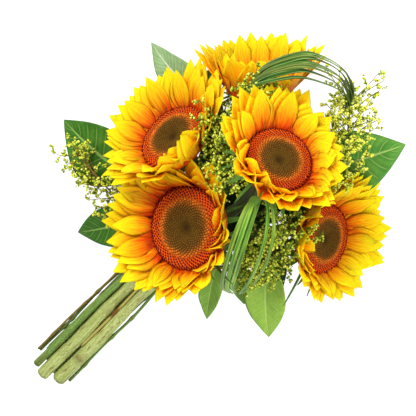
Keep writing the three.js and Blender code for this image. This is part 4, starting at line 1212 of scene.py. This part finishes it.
def round_the_bundle(turns, grow):
    """Points at shares of the way round a rounded rectangle: four quarter turns about the corners' centres,
    joined by straight sides."""
    low, high, foot, head, corner = TIE_SECTION
    quarter = np.radians(np.linspace(0, 90, 9))
    centres = [(high - corner, foot + corner, -90), (high - corner, head - corner, 0),
               (low + corner, head - corner, 90), (low + corner, foot + corner, 180)]
    outline = np.vstack([np.stack([y + (corner + grow) * np.cos(quarter + math.radians(a)),
                                   z + (corner + grow) * np.sin(quarter + math.radians(a))], -1)
                         for y, z, a in centres])
    outline = np.vstack([outline, outline[:1]])
    run = np.r_[0, np.cumsum(np.linalg.norm(np.diff(outline, axis=0), axis=1))]
    where = np.mod(turns, 1) * run[-1]
    return np.interp(where, run, outline[:, 0]), np.interp(where, run, outline[:, 1])


winds = np.linspace(0, TIE_TURNS, TIE_STEPS * TIE_TURNS)
tie_y, tie_z = round_the_bundle(winds, TIE_THICKNESS / 2)
tie_x = TIE_X + (TIE_WIDTH - TIE_THICKNESS) * (winds / TIE_TURNS - .5)
twine = rod(np.stack([tie_x, tie_y, tie_z], -1), np.full(len(winds), TIE_THICKNESS / 2), TWINE_SIDES)
piece("tie_twine", [twine], twine_finish(), "tie_band")

# ---- Table, light and camera ----
# A plain white table under soft studio light from the upper left, seen steeply from above the foot of the
# bunch.

LOOK_AT = (np.array([120, 0, 80]) - MIDDLE) / 1000
TOWARDS_CAMERA = unit([.4226, 0, .9063])
PICTURE_RIGHT = unit([.64, -.707, -.30])
PICTURE_UP = unit(np.cross(TOWARDS_CAMERA, PICTURE_RIGHT))
CAMERA_DISTANCE = 1.4
TABLE_HALF = 4
WHITE = (1, 1, 1, 1)

floor_mesh = bpy.data.meshes.new("table")
floor_mesh.from_pydata([(x * TABLE_HALF, y * TABLE_HALF, 0) for x, y in ((-1, -1), (1, -1), (1, 1), (-1, 1))],
                       [], [(0, 1, 2, 3)])
floor_mesh.materials.append(Finish("table_white", .9, Base_Color=(.3, .3, .3, 1), Emission_Color=WHITE,
                                   Emission_Strength=.88).material)
floor = bpy.data.objects.new("table", floor_mesh)
bpy.context.collection.objects.link(floor)


def set_up(name, data, side, up, back, distance):
    """A camera or lamp that looks at the bunch from a distance: its own axes are side, up and back."""
    made = bpy.data.objects.new(name, data)
    stand = np.eye(4)
    stand[:3] = np.stack([side, up, back, LOOK_AT + distance * back], -1)
    made.matrix_world = Matrix(stand.tolist())
    bpy.context.collection.objects.link(made)
    return made


camera_data = bpy.data.cameras.new("camera")
camera_data.lens = 135
camera_data.sensor_width = 36
camera = set_up("camera", camera_data, PICTURE_RIGHT, PICTURE_UP, TOWARDS_CAMERA, CAMERA_DISTANCE)
bpy.context.scene.camera = camera


def lamp(name, way, distance, size, power, colour):
    """A square soft box that looks at the bunch from a way given by the picture's right, up and towards."""
    data = bpy.data.lights.new(name, "AREA")
    data.size = size
    data.energy = power
    data.color = colour
    aim = unit(np.array(way) @ [PICTURE_RIGHT, PICTURE_UP, TOWARDS_CAMERA])
    side = unit(np.cross([0, 0, 1], aim))
    set_up(name, data, side, np.cross(aim, side), aim, distance)


lamp("key_light", (-.4, .55, 1.), 1.6, .9, 32, (1, .985, .95))
lamp("fill_light", (.8, -.5, .8), 1.8, 1.4, 29, (.96, .98, 1))
world = bpy.context.scene.world or bpy.data.worlds.new("studio")
bpy.context.scene.world = world
world.use_nodes = True
background = world.node_tree.nodes["Background"].inputs
background["Color"].default_value = WHITE
background["Strength"].default_value = .45
bpy.context.scene.view_settings.view_transform = "Standard"
